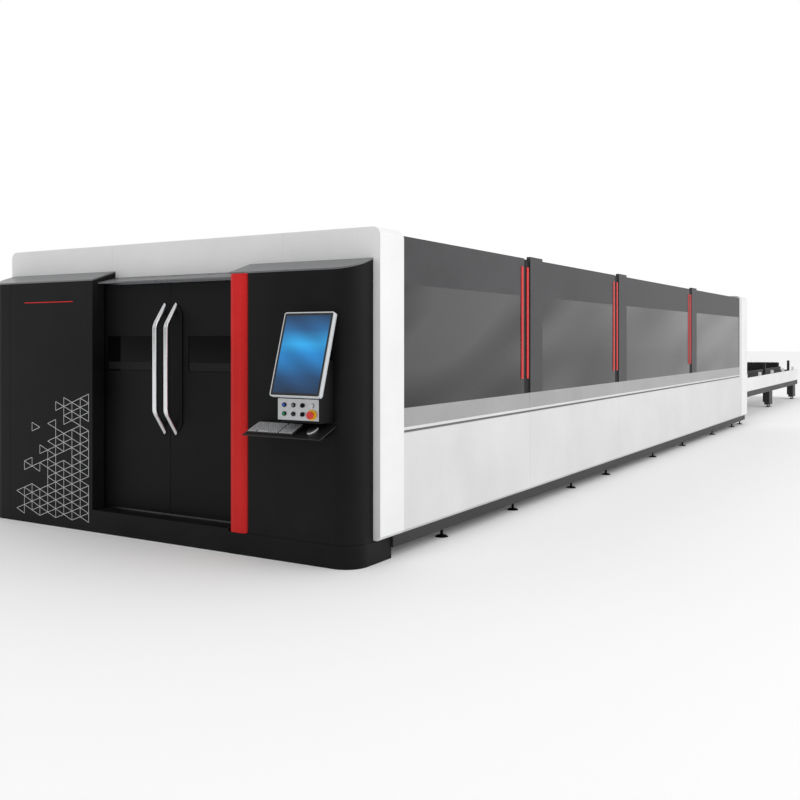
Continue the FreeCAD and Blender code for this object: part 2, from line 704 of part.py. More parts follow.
# ---------------------------------------------------------------- door leaves
def leaf(name, x0, x1, hole0, hole1, meeting, outward):
    """A sliding leaf with its window, handle, backing plate and two hangers."""
    front = f"{FACE} - leaf_front"
    back = f"{front} + leaf_thick"
    panel = span(x0, x1, front, back, "leaf_bottom", "leaf_top")
    hole = span(hole0, hole1, f"{front} - 1", f"{back} + 1", "window_bottom", "window_top")
    keep(name + "_window", span(hole0, hole1, f"{front} + 4", f"{front} + 4 + window_thick",
                                "window_bottom", "window_top"))
    far = f"{meeting} + {outward} * plate_wide"
    corners = [(meeting, "plate_bottom"), (far, "plate_bottom"),
               (far, "plate_bottom + plate_high"), (meeting, "plate_bottom + plate_high")]
    keep(name + "_handle_plate", prism("XZ", corners, f"{front} - plate_thick", "plate_thick",
                                       {1: "plate_round", 2: "plate_round"}))
    keep(name + "_handle", handle(f"{meeting} + {outward} * handle_side"))
    hangers = []
    for place_x in (f"{x0} + hanger_inset", f"{x1} - hanger_inset"):
        roller = rod(place_x, f"{LEAF_MIDDLE} - roller_wide", f"{TRACK_BOTTOM} + track_high / 2",
                     "track_high / 2 - track_wall - run_gap", "2 * roller_wide", BACKWARD)
        stem = span(f"{place_x} - hanger_half", f"{place_x} + hanger_half",
                    f"{LEAF_MIDDLE} - 4", f"{LEAF_MIDDLE} + 4",
                    "leaf_top", f"{TRACK_BOTTOM} + track_high / 2")
        hangers.append(fuse([roller, stem]))
    keep(name + "_door", [cut(panel, [hole])] + hangers)


def handle(x):
    """A tube with both ends leaning back to the door, cut flush with its backing plate."""
    lean = size("handle_lean")
    bar_y = f"({FACE} - leaf_front - handle_out)"
    tangent = "(handle_bend * tan(handle_lean * 0.5deg))"
    drop = "(handle_bend * sin(handle_lean * 1deg))"
    inward = "(handle_bend * (1 - cos(handle_lean * 1deg)))"
    low = f"(handle_low + {tangent})"
    high = f"(handle_high - {tangent})"
    pieces = [rod(x, bar_y, low, "handle_radius", f"{high} - {low}")]
    turns = ((low, -1, V(0, 0, -1), V(1, 0, 0), lean - 180), (high, 1, V(0, 0, 1), V(-1, 0, 0), -lean))
    for z, up, across, axis, turn in turns:
        ring = DOC.addObject("Part::Torus", "bend")
        ring.setExpression("Radius1", "sizes.handle_bend")
        ring.setExpression("Radius2", "sizes.handle_radius")
        ring.setExpression("Angle3", "sizes.handle_lean")
        turned = FreeCAD.Rotation(V(0, -1, 0), across, axis, "XYZ")
        pieces.append(place(ring, x, f"{bar_y} + handle_bend", z, turned))
        reach = f"(handle_out + handle_spare - {inward}) / sin(handle_lean * 1deg)"
        pieces.append(rod(x, f"{bar_y} + {inward}", f"{z} + {up} * {drop}", "handle_radius", reach,
                          FreeCAD.Rotation(V(1, 0, 0), turn)))
    plate_face = f"{FACE} - leaf_front - plate_thick"
    behind = span(f"{x} - 60", f"{x} + 60", plate_face, f"{plate_face} + 150", "plate_bottom - 150",
                  "plate_bottom + plate_high + 150")
    return cut(fuse(pieces), [behind])


LEFT_MEETING = "(door_centre - leaf_gap / 2)"
RIGHT_MEETING = "(door_centre + leaf_gap / 2)"
leaf("left", f"{LEFT_JAMB} - leaf_lap", LEFT_MEETING, f"{LEFT_JAMB} + window_edge",
     f"{LEFT_MEETING} - window_left_stile", LEFT_MEETING, -1)
leaf("right", RIGHT_MEETING, f"{RIGHT_JAMB} + leaf_lap", f"{RIGHT_MEETING} + window_right_stile",
     f"{RIGHT_JAMB} - window_edge", RIGHT_MEETING, 1)

# ---------------------------------------------------------------- operator console
CONSOLE_RIGHT = "(console_left + console_wide)"
CONSOLE_FACE = f"({CABINET_FRONT} - console_out)"
LEAN = "(monitor_tilt * 1deg)"
console = [(CABINET_FRONT, "console_bottom"), (CONSOLE_FACE, "console_bottom"),
           (CONSOLE_FACE, "console_knee"),
           (f"{CONSOLE_FACE} + (console_top - console_knee) * tan({LEAN})", "console_top"),
           (CABINET_FRONT, "console_top")]
hollow_console = [(f"{CABINET_FRONT} + 5", "console_bottom + cabinet_wall"),
                  (f"{CONSOLE_FACE} + cabinet_wall", "console_bottom + cabinet_wall"),
                  (f"{CONSOLE_FACE} + cabinet_wall", "console_knee"),
                  (f"{CABINET_FRONT} + 5", "console_knee")]
console_shell = cut(prism("YZ", console, "console_left", "console_wide"),
                    [prism("YZ", hollow_console, "console_left + cabinet_wall",
                           "console_wide - 2 * cabinet_wall")])
LEANING = FreeCAD.Rotation(V(-1, 0, 0), size("monitor_tilt"))
MONITOR_LEFT = "(console_left + console_wide / 2 + monitor_aside - monitor_wide / 2)"
# the monitor's back plane passes through the console's knee
MONITOR_Y = f"({CONSOLE_FACE} - monitor_down * sin({LEAN}) - (monitor_thick + run_gap) * cos({LEAN}))"
MONITOR_Z = f"(console_knee - monitor_down * cos({LEAN}) + (monitor_thick + run_gap) * sin({LEAN}))"


def on_monitor(across, inward, up, dx, dy, dz):
    """A box in the monitor's own leaning frame."""
    thing = box(f"{MONITOR_LEFT} + {across}",
                f"{MONITOR_Y} + ({inward}) * cos({LEAN}) + ({up}) * sin({LEAN})",
                f"{MONITOR_Z} - ({inward}) * sin({LEAN}) + ({up}) * cos({LEAN})", dx, dy, dz, LEANING)
    thing.setExpression("Placement.Rotation.Angle", "sizes.monitor_tilt")
    return thing


housing = on_monitor("0", "0", "0", "monitor_wide", "monitor_thick", "monitor_high")
pocket = on_monitor("monitor_bezel", "-1", "monitor_bezel", "monitor_wide - 2 * monitor_bezel",
                    "screen_thick + 1", "monitor_high - 2 * monitor_bezel")
keep("monitor_housing", cut(housing, [pocket]))
keep("monitor_screen", on_monitor("monitor_bezel", "0.5", "monitor_bezel",
                                  "monitor_wide - 2 * monitor_bezel", "screen_thick - 0.5",
                                  "monitor_high - 2 * monitor_bezel"))

PANEL_LEFT = "(console_left + console_wide / 2 - panel_aside - panel_wide / 2)"
PANEL_FACE = f"({CONSOLE_FACE} - panel_sheet)"


def button_x(column_number):
    return f"({PANEL_LEFT} + button_first + {column_number} * button_pitch)"


def button_z(row_number):
    return f"(panel_low + button_low + {row_number} * button_rows)"


STOP_Z = f"({button_z(0)} - 2)"
BUTTONS = [(column_number, row_number) for column_number in range(3) for row_number in range(2)]
bores = [rod(button_x(column_number), f"{PANEL_FACE} + button_in", button_z(row_number),
             "button_radius + play", "button_in + bezel_out + 5", FORWARD)
         for column_number, row_number in BUTTONS]
stop_bore = rod(button_x(3), f"{PANEL_FACE} + button_in", STOP_Z, "button_radius + play",
                "button_in + bezel_out + 5", FORWARD)
keep("console_box", cut(console_shell, bores + [stop_bore]))
panel = cut(box(PANEL_LEFT, PANEL_FACE, "panel_low", "panel_wide", "panel_sheet", "panel_high"),
            bores + [stop_bore])
bezels = []
for (column_number, row_number), bore in zip(BUTTONS, bores):
    ring = rod(button_x(column_number), PANEL_FACE, button_z(row_number), "bezel_radius",
               "bezel_out", FORWARD)
    bezels.append(cut(ring, [bore]))
screws = [rod(f"{PANEL_LEFT} + {x}", PANEL_FACE, f"panel_low + {z}", "4", "2", FORWARD)
                      for x in ("screw_inset", "panel_wide - screw_inset")
                      for z in ("screw_inset", "panel_high - screw_inset")]
keep("button_panel", [panel] + screws)


def push_button(label, column_number, row_number):
    keep(label, rod(button_x(column_number), f"{PANEL_FACE} + button_in", button_z(row_number),
                    "button_radius", "button_in + button_out", FORWARD))


def turn_knob(label, column_number, row_number, ridge):
    """A round knob with a grip ridge, or a plain one."""
    x = button_x(column_number)
    z = button_z(row_number)
    cap = rod(x, f"{PANEL_FACE} + button_in", z, "button_radius", "button_in + button_out", FORWARD)
    if not ridge:
        pointer = box(f"{x} - 1", f"{PANEL_FACE} - button_out - 1", z, "2", "2", "button_radius")
        keep(label, fuse([cap, pointer]))
        return
    grip = box(f"{x} - {ridge} / 2", f"{PANEL_FACE} - button_out - 10", f"{z} - button_radius + 1",
               ridge, "11", "2 * button_radius - 2")
    keep(label, fuse([cap, grip]))


push_button("start_button", 0, 0)
push_button("reset_button", 0, 1)
turn_knob("key_switch", 1, 1, "3")
turn_knob("mode_selector", 2, 1, "8")
turn_knob("feed_knob", 1, 0, "")
turn_knob("light_selector", 2, 0, "8")
bezels.append(rod(button_x(3), PANEL_FACE, button_z(1), "button_radius", "5", FORWARD))
keep("button_bezels", bezels)
disc = rod(button_x(3), PANEL_FACE, STOP_Z, "stop_disc", "4", FORWARD)
keep("stop_collar", cut(disc, [stop_bore]))
stop_stem = rod(button_x(3), f"{PANEL_FACE} + button_in", STOP_Z, "button_radius", "button_in + 16", FORWARD)
stop_head = taper(button_x(3), f"{PANEL_FACE} - 12", STOP_Z, "button_radius + 4", "stop_radius", "6", FORWARD)
stop_top = rod(button_x(3), f"{PANEL_FACE} - 18", STOP_Z, "stop_radius", "stop_out - 18", FORWARD)
keep("emergency_stop", fuse([stop_stem, stop_head, stop_top]))

# ---------------------------------------------------------------- keyboard tray
TRAY_LEAN = "(tray_tilt * 1deg)"
TRAY_Y = f"({CABINET_FRONT} - tray_out + tray_thick * sin({TRAY_LEAN}))"


def on_tray(across, inward, up, dx, dy, dz):
    """A box in the sloping tray's own frame, measured from its front lower edge."""
    thing = box(f"tray_left + {across}",
                f"{TRAY_Y} + ({inward}) * cos({TRAY_LEAN}) - ({up}) * sin({TRAY_LEAN})",
                f"tray_low + ({inward}) * sin({TRAY_LEAN}) + ({up}) * cos({TRAY_LEAN})", dx, dy, dz,
                FreeCAD.Rotation(V(1, 0, 0), size("tray_tilt")))
    thing.setExpression("Placement.Rotation.Angle", "sizes.tray_tilt")
    return thing


tray = on_tray("0", "0", "0", "tray_wide", "tray_deep", "tray_thick")
brackets = []
for x in ("tray_left + tray_arm_inset", "tray_left + tray_wide - tray_arm_inset"):
    rise = f"(tray_low - 0.4 + ({CABINET_FRONT} - {TRAY_Y}) * tan({TRAY_LEAN}))"
    front = f"(tray_low - 0.4 + 80 * tan({TRAY_LEAN}))"
    corners = [(CABINET_FRONT, rise), (f"{TRAY_Y} + 80", front), (f"{TRAY_Y} + 80", f"{front} - 12"),
               (CABINET_FRONT, f"{rise} - 100")]
    brackets.append(prism("YZ", corners, x, "5"))
keep("keyboard", on_tray("keyboard_left", "keyboard_front", "tray_thick + run_gap", "keyboard_wide",
                         "keyboard_deep", "keyboard_thick"))
divider = on_tray("2 * keyboard_left + keyboard_wide", "divider_inset", "tray_thick",
                  "divider_thick", "tray_deep - 2 * divider_inset", "divider_high")
keep("keyboard_tray", [fuse([tray, divider])] + brackets)
mouse = on_tray("tray_wide - mouse_right", "mouse_front", "tray_thick + run_gap", "mouse_wide",
                "mouse_long", "mouse_thick")
DOC.recompute()
MOUSE_ROUND = 15.0
soft = DOC.addObject("Part::Fillet", "mouse_round")
soft.Base = mouse
soft.Edges = [(number, MOUSE_ROUND, MOUSE_ROUND) for number in (2, 6, 10, 12)]
keep("mouse", soft)
receiver = prism("XZ", [("console_left - 108", "console_bottom + 20"),
                        ("console_left - 60", "console_bottom + 20"),
                        ("console_left - 60", "console_bottom + 112"),
                        ("console_left - 90", "console_bottom + 92"),
                        ("console_left - 108", "console_bottom + 72")],
                 f"{CABINET_FRONT} - 42", "42")
keep("remote_holder", receiver)

# ---------------------------------------------------------------- bed
BED_FIRST = f"({FACE} + bed_start)"
BED_LAST = f"({BED_FIRST} + bed_length)"
PALLET_RAIL_TOP = "(pallet_bottom - run_gap)"
bed = []
rails = []
racks = []
pallet_rails = []
for side in SIDES:
    low = "bed_inner" if side > 0 else "-bed_inner - bed_beam"
    bed.append(box(low, BED_FIRST, "bed_bottom", "bed_beam", "bed_length", "bed_top - bed_bottom"))
    middle = f"{side} * (bed_inner + 0.6 * bed_beam)"
    rails.append(box(f"{middle} - rail_wide / 2", BED_FIRST, "bed_top", "rail_wide", "bed_length", "rail_high"))
    rack = f"{side} * (bed_inner + 0.2 * bed_beam)"
    racks.append(box(f"{rack} - rack_wide / 2", BED_FIRST, "bed_top", "rack_wide", "bed_length", "rack_wide"))
    rail_low = "pallet_half - ledge_wide" if side > 0 else "-pallet_half"
    pallet_rails.append(box(rail_low, f"{FACE} + pallet_start", f"{PALLET_RAIL_TOP} - 2 * ledge_high",
                            "ledge_wide", f"pallet_length", "2 * ledge_high"))
    for number in range(6):
        spot = f"{BED_FIRST} + bed_foot_inset + {number} * (bed_length - 2 * bed_foot_inset) / 5"
        feet.append(fuse([taper(middle, spot, "0", "bed_pad_radius", "bed_pad_top", "bed_pad_thick"),
                          rod(middle, spot, "bed_pad_thick", "bed_pad_stem", "bed_bottom - bed_pad_thick")]))
for number in range(6):
    spot = f"({FACE} + pallet_start + bed_foot_inset + {number} * (pallet_length - 2 * bed_foot_inset) / 5)"
    bed.append(span("-bed_inner", "bed_inner", f"{spot} - bed_cross / 2", f"{spot} + bed_cross / 2",
                    "bed_bottom", f"{PALLET_RAIL_TOP} - 2 * ledge_high"))
keep("bed_frame", fuse(bed + pallet_rails))
keep("bed_rails_and_racks", rails + racks)

# ---------------------------------------------------------------- gantry and head
GANTRY_Y = f"({FACE} + gantry_start)"
RAIL_X = "(bed_inner + 0.6 * bed_beam)"
trucks = []
for side in SIDES:
    x0 = f"{side} * {RAIL_X} - truck_wide / 2"
    y0 = f"{GANTRY_Y} + gantry_deep / 2 - truck_long / 2"
    block = box(x0, y0, "bed_top + run_gap + rack_wide", "truck_wide", "truck_long",
                "gantry_bottom - bed_top - run_gap - rack_wide")
    groove = box(f"{side} * {RAIL_X} - rail_wide / 2 - 1", f"{y0} - 1", "bed_top", "rail_wide + 2",
                 "truck_long + 2", "rail_high + run_gap")
    trucks.append(cut(block, [groove]))
beam_outer = span(f"-{RAIL_X} - truck_wide / 2", f"{RAIL_X} + truck_wide / 2", GANTRY_Y,
                  f"{GANTRY_Y} + gantry_deep", "gantry_bottom", "gantry_bottom + gantry_high")
beam_hollow = span(f"-{RAIL_X} - truck_wide", f"{RAIL_X} + truck_wide", f"{GANTRY_Y} + beam_plate",
                   f"{GANTRY_Y} + gantry_deep - beam_plate", "gantry_bottom + beam_plate",
                   "gantry_bottom + gantry_high - beam_plate")
keep("gantry_beam", fuse([cut(beam_outer, [beam_hollow])] + trucks))
keep("gantry_rails", [span(f"-{RAIL_X}", RAIL_X, f"{GANTRY_Y} - beam_rail_deep", GANTRY_Y,
                           f"{z} - beam_rail / 2",
                           f"{z} + beam_rail / 2")
                      for z in ("gantry_bottom + beam_rail_inset",
                                "gantry_bottom + gantry_high - beam_rail_inset")])
CARRIAGE_BACK = f"({GANTRY_Y} - beam_rail_deep - run_gap)"
keep("carriage", box("-carriage_wide / 2", f"{CARRIAGE_BACK} - carriage_thick", "gantry_bottom + 10",
                     "carriage_wide", "carriage_thick", "carriage_high"))
SLIDE_BACK = f"({CARRIAGE_BACK} - carriage_thick - run_gap)"
keep("z_slide", box("-slide_wide / 2", f"{SLIDE_BACK} - slide_thick", "gantry_bottom + 150",
                    "slide_wide", "slide_thick", "slide_high"))
HEAD_Y = f"({SLIDE_BACK} - slide_thick - head_radius)"
head = [rod("0", HEAD_Y, "head_bottom + 150", "head_radius", "340"),
        taper("0", HEAD_Y, "head_bottom + 60", "18", "head_radius", "90"),
        taper("0", HEAD_Y, "head_bottom", "3", "14", "60"),
        box("-20", f"{HEAD_Y} + 10", "gantry_bottom + 200", "40", "head_radius - 10", "200")]
keep("cutting_head", fuse(head))


# ---------------------------------------------------------------- pallets
def pallet(name, start, bottom):
    """A rectangular frame and a row of upright slats."""
    length = "pallet_length"
    parts = [span("pallet_half - pallet_beam", "pallet_half", start, f"{start} + {length}", bottom,
                  f"{bottom} + pallet_beam"),
             span("-pallet_half", "pallet_beam - pallet_half", start, f"{start} + {length}", bottom,
                  f"{bottom} + pallet_beam")]
    count = 5
    for number in range(count):
        y = f"{start} + {number} * ({length} - pallet_beam) / {count - 1}"
        parts.append(span("pallet_beam - pallet_half", "pallet_half - pallet_beam", y, f"{y} + pallet_beam",
                          bottom, f"{bottom} + pallet_beam"))
    pieces = [fuse(parts)]
    for number in range(int((size("pallet_length") - 100) // size("slat_pitch"))):
        pieces.append(box("-pallet_half", f"{start} + 100 + {number} * slat_pitch", f"{bottom} + pallet_beam",
                         "2 * pallet_half", "slat_thick", "pallet_high - pallet_beam"))
    keep(name, pieces)


pallet("inner_pallet", f"{FACE} + pallet_start", "pallet_bottom")
pallet("outer_pallet", f"{FACE} + pallet_start + pallet_travel", "(pallet_bottom + level_pitch)")

# ---------------------------------------------------------------- exchange table
TABLE_FIRST = f"({REAR} + table_start)"
TABLE_LAST = f"({REAR} + table_length)"
RAIL_OUT = "table_half"
side_rails = []
lower_beams = []
legs = []
stubs = []
posts = []
lift = []
LIFT_FIRST = f"({TABLE_FIRST} + 60)"
LIFT_LAST = f"({TABLE_LAST} - 200)"
for side in SIDES:
    def across(near, far):
        """Two X values at one side, low first."""
        return (near, far) if side > 0 else (f"-({far})", f"-({near})")
    x0, x1 = across(f"{RAIL_OUT} - table_rail_thick", RAIL_OUT)
    side_rails.append(span(x0, x1, TABLE_FIRST, TABLE_LAST, "table_rail_bottom", "table_rail_top"))
    x0, x1 = across(f"{RAIL_OUT} - table_beam_wide", RAIL_OUT)
    lower_beams.append(span(x0, x1, REAR, f"{TABLE_LAST} - 20", "table_beam_bottom",
                            "table_rail_bottom"))
    spots = [f"({TABLE_FIRST} + leg_spot_front)", f"({TABLE_FIRST} + leg_spot_middle)",
         f"({TABLE_LAST} - leg_spot_rear)"]
    for spot in spots:
        legs.append(span(x0, x1, spot, f"{spot} + leg_long", "leg_bottom", "table_beam_bottom"))
        for shift in ("table_leg_shift", "leg_long - table_leg_shift"):
            middle = f"{side} * ({RAIL_OUT} - table_beam_wide / 2)"
            pad = taper(middle, f"{spot} + {shift}", "0", "foot_wide / 2", "foot_wide / 3", "foot_pad")
            stem = rod(middle, f"{spot} + {shift}", "foot_pad", "foot_stem / 2", "leg_bottom - foot_pad")
            feet.append(fuse([pad, stem]))
        x2, x3 = across(f"{RAIL_OUT} - table_beam_wide - guide_post", f"{RAIL_OUT} - table_beam_wide")
        x8, x9 = across("web_inner + lift_web", f"{RAIL_OUT} - table_beam_wide - guide_post - run_gap")
        lift.append(span(x8, x9, f"{spot} + leg_long / 2 - 50", f"{spot} + leg_long / 2 + 50",
                         f"{PALLET_RAIL_TOP} - ledge_high", f"{PALLET_RAIL_TOP} + level_pitch"))
        posts.append(span(x2, x3, f"{spot} + leg_long / 2 - 30", f"{spot} + leg_long / 2 + 30",
                          "leg_bottom + 50", "guide_post_top"))
    x4, x5 = across(f"{RAIL_OUT} - table_rail_thick", RAIL_OUT)
    for number in range(6):
        y = f"{TABLE_FIRST} + 500 + {number} * (table_length - 1200) / 5"
        stubs.append(span(x4, x5, y, f"{y} + 40", "table_rail_top", "table_rail_top + bracket_high"))
    web = across("web_inner", "web_inner + lift_web")
    lift.append(span(web[0], web[1], LIFT_FIRST, LIFT_LAST, f"{PALLET_RAIL_TOP} - ledge_high",
                     f"{PALLET_RAIL_TOP} + level_pitch"))
    for level in ("0", "level_pitch"):
        x6, x7 = across("web_inner - ledge_wide", "web_inner")
        lift.append(span(x6, x7, LIFT_FIRST, LIFT_LAST, f"{PALLET_RAIL_TOP} + {level} - ledge_high",
                         f"{PALLET_RAIL_TOP} + {level}"))
for y in (LIFT_FIRST, f"({LIFT_LAST} - 80)"):
    lift.append(span("-web_inner", "web_inner", y, f"{y} + 80",
                     f"{PALLET_RAIL_TOP} - ledge_high", f"{PALLET_RAIL_TOP} - 8"))
ties = [span(f"table_beam_wide - {RAIL_OUT}", f"{RAIL_OUT} - table_beam_wide", spot, f"{spot} + tie_deep",
             "table_beam_bottom", "table_beam_bottom + tie_deep")
        for spot in (TABLE_FIRST, f"({TABLE_LAST} - 2 * tie_deep - tie_inset)")]
keep("table_side_rails", side_rails + stubs)
keep("table_frame", fuse(lower_beams + legs + ties + posts))
keep("levelling_feet", feet)
keep("lift_carriage", fuse(lift))

# ---------------------------------------------------------------- rear wall and lifting door
WALL_X = f"({HALF} - portal_jamb)"
wall_back = REAR
rear_wall = cut(span(f"-{WALL_X}", WALL_X, f"{wall_back} - wall_sheet", wall_back, "portal_bottom",
                     "portal_top - portal_lintel"),
                [span("-rear_door_half + wall_lap", "rear_door_half - wall_lap",
                      f"{wall_back} - 40", f"{wall_back} + 10",
                      "portal_bottom - 10", "rear_door_low")])
keep("rear_wall", rear_wall)
keep("rear_lift_door", span("-rear_door_half", "rear_door_half", f"{wall_back} + run_gap",
                            f"{wall_back} + run_gap + rear_door_thick", "rear_door_low - 20",
                            "rear_door_low + rear_door_high - 20"))
keep("laser_source", span(f"beam_inset + beam_wide - {HALF}", "-source_side", PORTAL_BACK,
                          f"{PORTAL_BACK} + source_deep", "0", "source_high"))

# ---------------------------------------------------------------- check and write
DOC.recompute()
faults = [item.Name for item in DOC.Objects if "Invalid" in item.State or "Error" in item.State]
for node in NODES:
    if node.Shape.isNull() or not node.Shape.isValid():
        faults.append(node.Label)
if faults:
    raise RuntimeError("failed: " + ", ".join(faults))
os.makedirs("parts", exist_ok=True)
for node in NODES:
    node.Shape.exportStep(f"parts/{node.Label}.step")
print(len(NODES), "sub-parts written")
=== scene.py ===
# %% [markdown]
# Fiber laser cutting machine: the looks
#
# The construction comes ready made as a frame of named nodes. This notebook gives every
# surface its finish, adds the small pieces that are easier to make as surfaces than as
# solids, and sets up the studio. Everything is in metres in the frame's own axes: +X to
# the operator's right, +Y from the front doors towards the exchange table, +Z up.

# %% Load the frame
import math

import bpy
import numpy as np
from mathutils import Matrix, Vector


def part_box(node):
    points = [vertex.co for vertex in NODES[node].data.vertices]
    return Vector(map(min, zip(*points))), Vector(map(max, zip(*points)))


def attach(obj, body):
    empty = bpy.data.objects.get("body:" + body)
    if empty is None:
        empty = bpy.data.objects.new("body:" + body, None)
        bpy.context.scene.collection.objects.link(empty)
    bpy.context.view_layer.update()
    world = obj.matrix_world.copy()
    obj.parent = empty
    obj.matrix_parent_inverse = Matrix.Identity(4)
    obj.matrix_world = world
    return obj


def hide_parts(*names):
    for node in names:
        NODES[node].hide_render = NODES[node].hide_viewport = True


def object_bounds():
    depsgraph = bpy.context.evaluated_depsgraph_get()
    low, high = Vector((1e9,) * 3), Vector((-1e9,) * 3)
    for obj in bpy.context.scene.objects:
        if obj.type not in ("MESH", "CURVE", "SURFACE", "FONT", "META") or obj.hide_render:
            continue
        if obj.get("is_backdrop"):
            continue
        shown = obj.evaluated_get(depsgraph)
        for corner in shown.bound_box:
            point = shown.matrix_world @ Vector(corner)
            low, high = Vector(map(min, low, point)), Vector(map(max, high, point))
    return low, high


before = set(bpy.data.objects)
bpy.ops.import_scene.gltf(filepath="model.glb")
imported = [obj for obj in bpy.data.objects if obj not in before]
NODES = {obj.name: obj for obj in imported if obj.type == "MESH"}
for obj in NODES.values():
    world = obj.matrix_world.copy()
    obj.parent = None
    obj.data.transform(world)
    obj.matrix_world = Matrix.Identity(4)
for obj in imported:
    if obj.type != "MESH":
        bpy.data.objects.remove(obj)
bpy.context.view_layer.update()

# %% [markdown]
# A node's box tells where it stands. Pieces take their places from these boxes, so they
# follow the construction when a size changes there.

# %% Measuring helpers
def corners(node):
    """The lowest and highest corner of a node at rest, as two arrays."""
    low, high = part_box(node)
    return np.array(low), np.array(high)


FACE_Y = corners("front_portal")[0][1]
CABINET_LOW, CABINET_HIGH = corners("left_cabinet")
print("portal face at y =", round(FACE_Y, 3))

# %% [markdown]
# The camera stands at the operator's right, level, a little below the roof line, and
# looks along the machine so that the front and the long right side both show. A level
# camera keeps upright edges upright; a small vertical shift centres the machine.

# %% Camera
VIEW_TURN = math.radians(31.0)
VIEW_PLACE = (5.594, FACE_Y - 5.651, 1.61)
camera_data = bpy.data.cameras.new("camera")
camera_data.lens = 42.2
camera_data.sensor_width = 36.0
camera_data.shift_y = -0.0755
camera_data.clip_end = 200.0
camera = bpy.data.objects.new("camera", camera_data)
camera.location = VIEW_PLACE
camera.rotation_euler = (math.radians(90.0), 0.0, VIEW_TURN)
bpy.context.scene.collection.objects.link(camera)
bpy.context.scene.camera = camera
print("camera at", np.round(VIEW_PLACE, 2))

# %% [markdown]
# Colours are written as sRGB hex values, as a paint chart gives them. Shaders work in
# linear light, so one function turns them. One more function adds a node with its
# settings and its links, which keeps each material short enough to read.

# %% Colour and node helpers
def linear(code, alpha=1.0):
    """sRGB hex to linear: c / 12.92 below 0.04045, else ((c + 0.055) / 1.055) ** 2.4."""
    parts = np.array([int(code[place:place + 2], 16) for place in (1, 3, 5)]) / 255.0
    lit = np.where(parts <= 0.04045, parts / 12.92, ((parts + 0.055) / 1.055) ** 2.4)
    return (*lit.tolist(), alpha)


def add(tree, kind, settings=None, inputs=None, links=None):
    """A node of this kind: its properties, its constant inputs, and inputs fed by sockets."""
    node = tree.nodes.new(kind)
    for name, value in (settings or {}).items():
        setattr(node, name, value)
    for name, value in (inputs or {}).items():
        node.inputs[name].default_value = value
    for name, socket in (links or {}).items():
        tree.links.new(socket, node.inputs[name])
    return node


def start_material(name):
    """An empty node material and its output."""
    material = bpy.data.materials.new(name)
    material.use_nodes = True
    tree = material.node_tree
    tree.nodes.clear()
    return material, tree, add(tree, "ShaderNodeOutputMaterial")


def object_place(tree):
    """The Object coordinates socket, which stays with the mesh."""
    return add(tree, "ShaderNodeTexCoord").outputs["Object"]


def tinted(tree, factor, dark, light, low=0.0, high=1.0):
    """A colour that runs from dark to light as factor goes from low to high."""
    ramp = add(tree, "ShaderNodeValToRGB", links={"Fac": factor})
    ramp.color_ramp.elements[0].position = low
    ramp.color_ramp.elements[0].color = linear(dark)
    ramp.color_ramp.elements[1].position = high
    ramp.color_ramp.elements[1].color = linear(light)
    return ramp.outputs["Color"]


# %% [markdown]
# Almost all of the machine is folded steel sheet with an electrostatic powder coat. The
# black and grey coats are the textured kind: the cured powder wrinkles into grains of
# about a millimetre, which breaks the highlight into a soft sheen. The white and light
# grey coats are the smooth satin kind with only a faint orange peel. The same recipe
# serves both, with a different grain and roughness.

# %% Powder coats
GRAIN_MM = 3.0           # the real grain is about 1 mm, drawn coarser so that it shows
PEEL_MM = 14.0
DRIFT_PER_METRE = 1.3    # patches of tone, a little under a metre across
SPECK_SHARE = 0.45       # how far the grain tints the coat
SPECK_BASE = 0.28
TONE_RANGE = (0.12, 0.42)
UNEVEN = 0.05            # roughness either side of its mean


def powder_coat(name, dark, light, grain_mm, depth, roughness, gloss=0.5):
    """Powder coat: a slow drift of tone, a grain bump, and a slightly uneven gloss."""
    material, tree, output = start_material(name)
    place = object_place(tree)
    drift = add(tree, "ShaderNodeTexNoise",
                inputs={"Scale": DRIFT_PER_METRE, "Detail": 3.0, "Roughness": 0.6},
                links={"Vector": place})
    grain = add(tree, "ShaderNodeTexNoise", inputs={"Scale": 1000.0 / grain_mm, "Detail": 2.0},
                links={"Vector": place})
    speck = add(tree, "ShaderNodeMath", {"operation": "MULTIPLY_ADD"},
                {1: SPECK_SHARE, 2: SPECK_BASE}, {0: grain.outputs["Fac"]})
    mixed = add(tree, "ShaderNodeMath", {"operation": "MULTIPLY"},
                links={0: drift.outputs["Fac"], 1: speck.outputs["Value"]})
    color = tinted(tree, mixed.outputs["Value"], dark, light, *TONE_RANGE)
    uneven = add(tree, "ShaderNodeMapRange",
                 inputs={"From Min": 0.3, "From Max": 0.7, "To Min": roughness - UNEVEN,
                         "To Max": roughness + UNEVEN},
                 links={"Value": drift.outputs["Fac"]})
    bump = add(tree, "ShaderNodeBump", inputs={"Strength": 0.35, "Distance": depth},
               links={"Height": grain.outputs["Fac"]})
    shader = add(tree, "ShaderNodeBsdfPrincipled", inputs={"Specular IOR Level": gloss},
                 links={"Base Color": color, "Roughness": uneven.outputs["Result"],
                        "Normal": bump.outputs["Normal"]})
    tree.links.new(shader.outputs["BSDF"], output.inputs["Surface"])
    return material


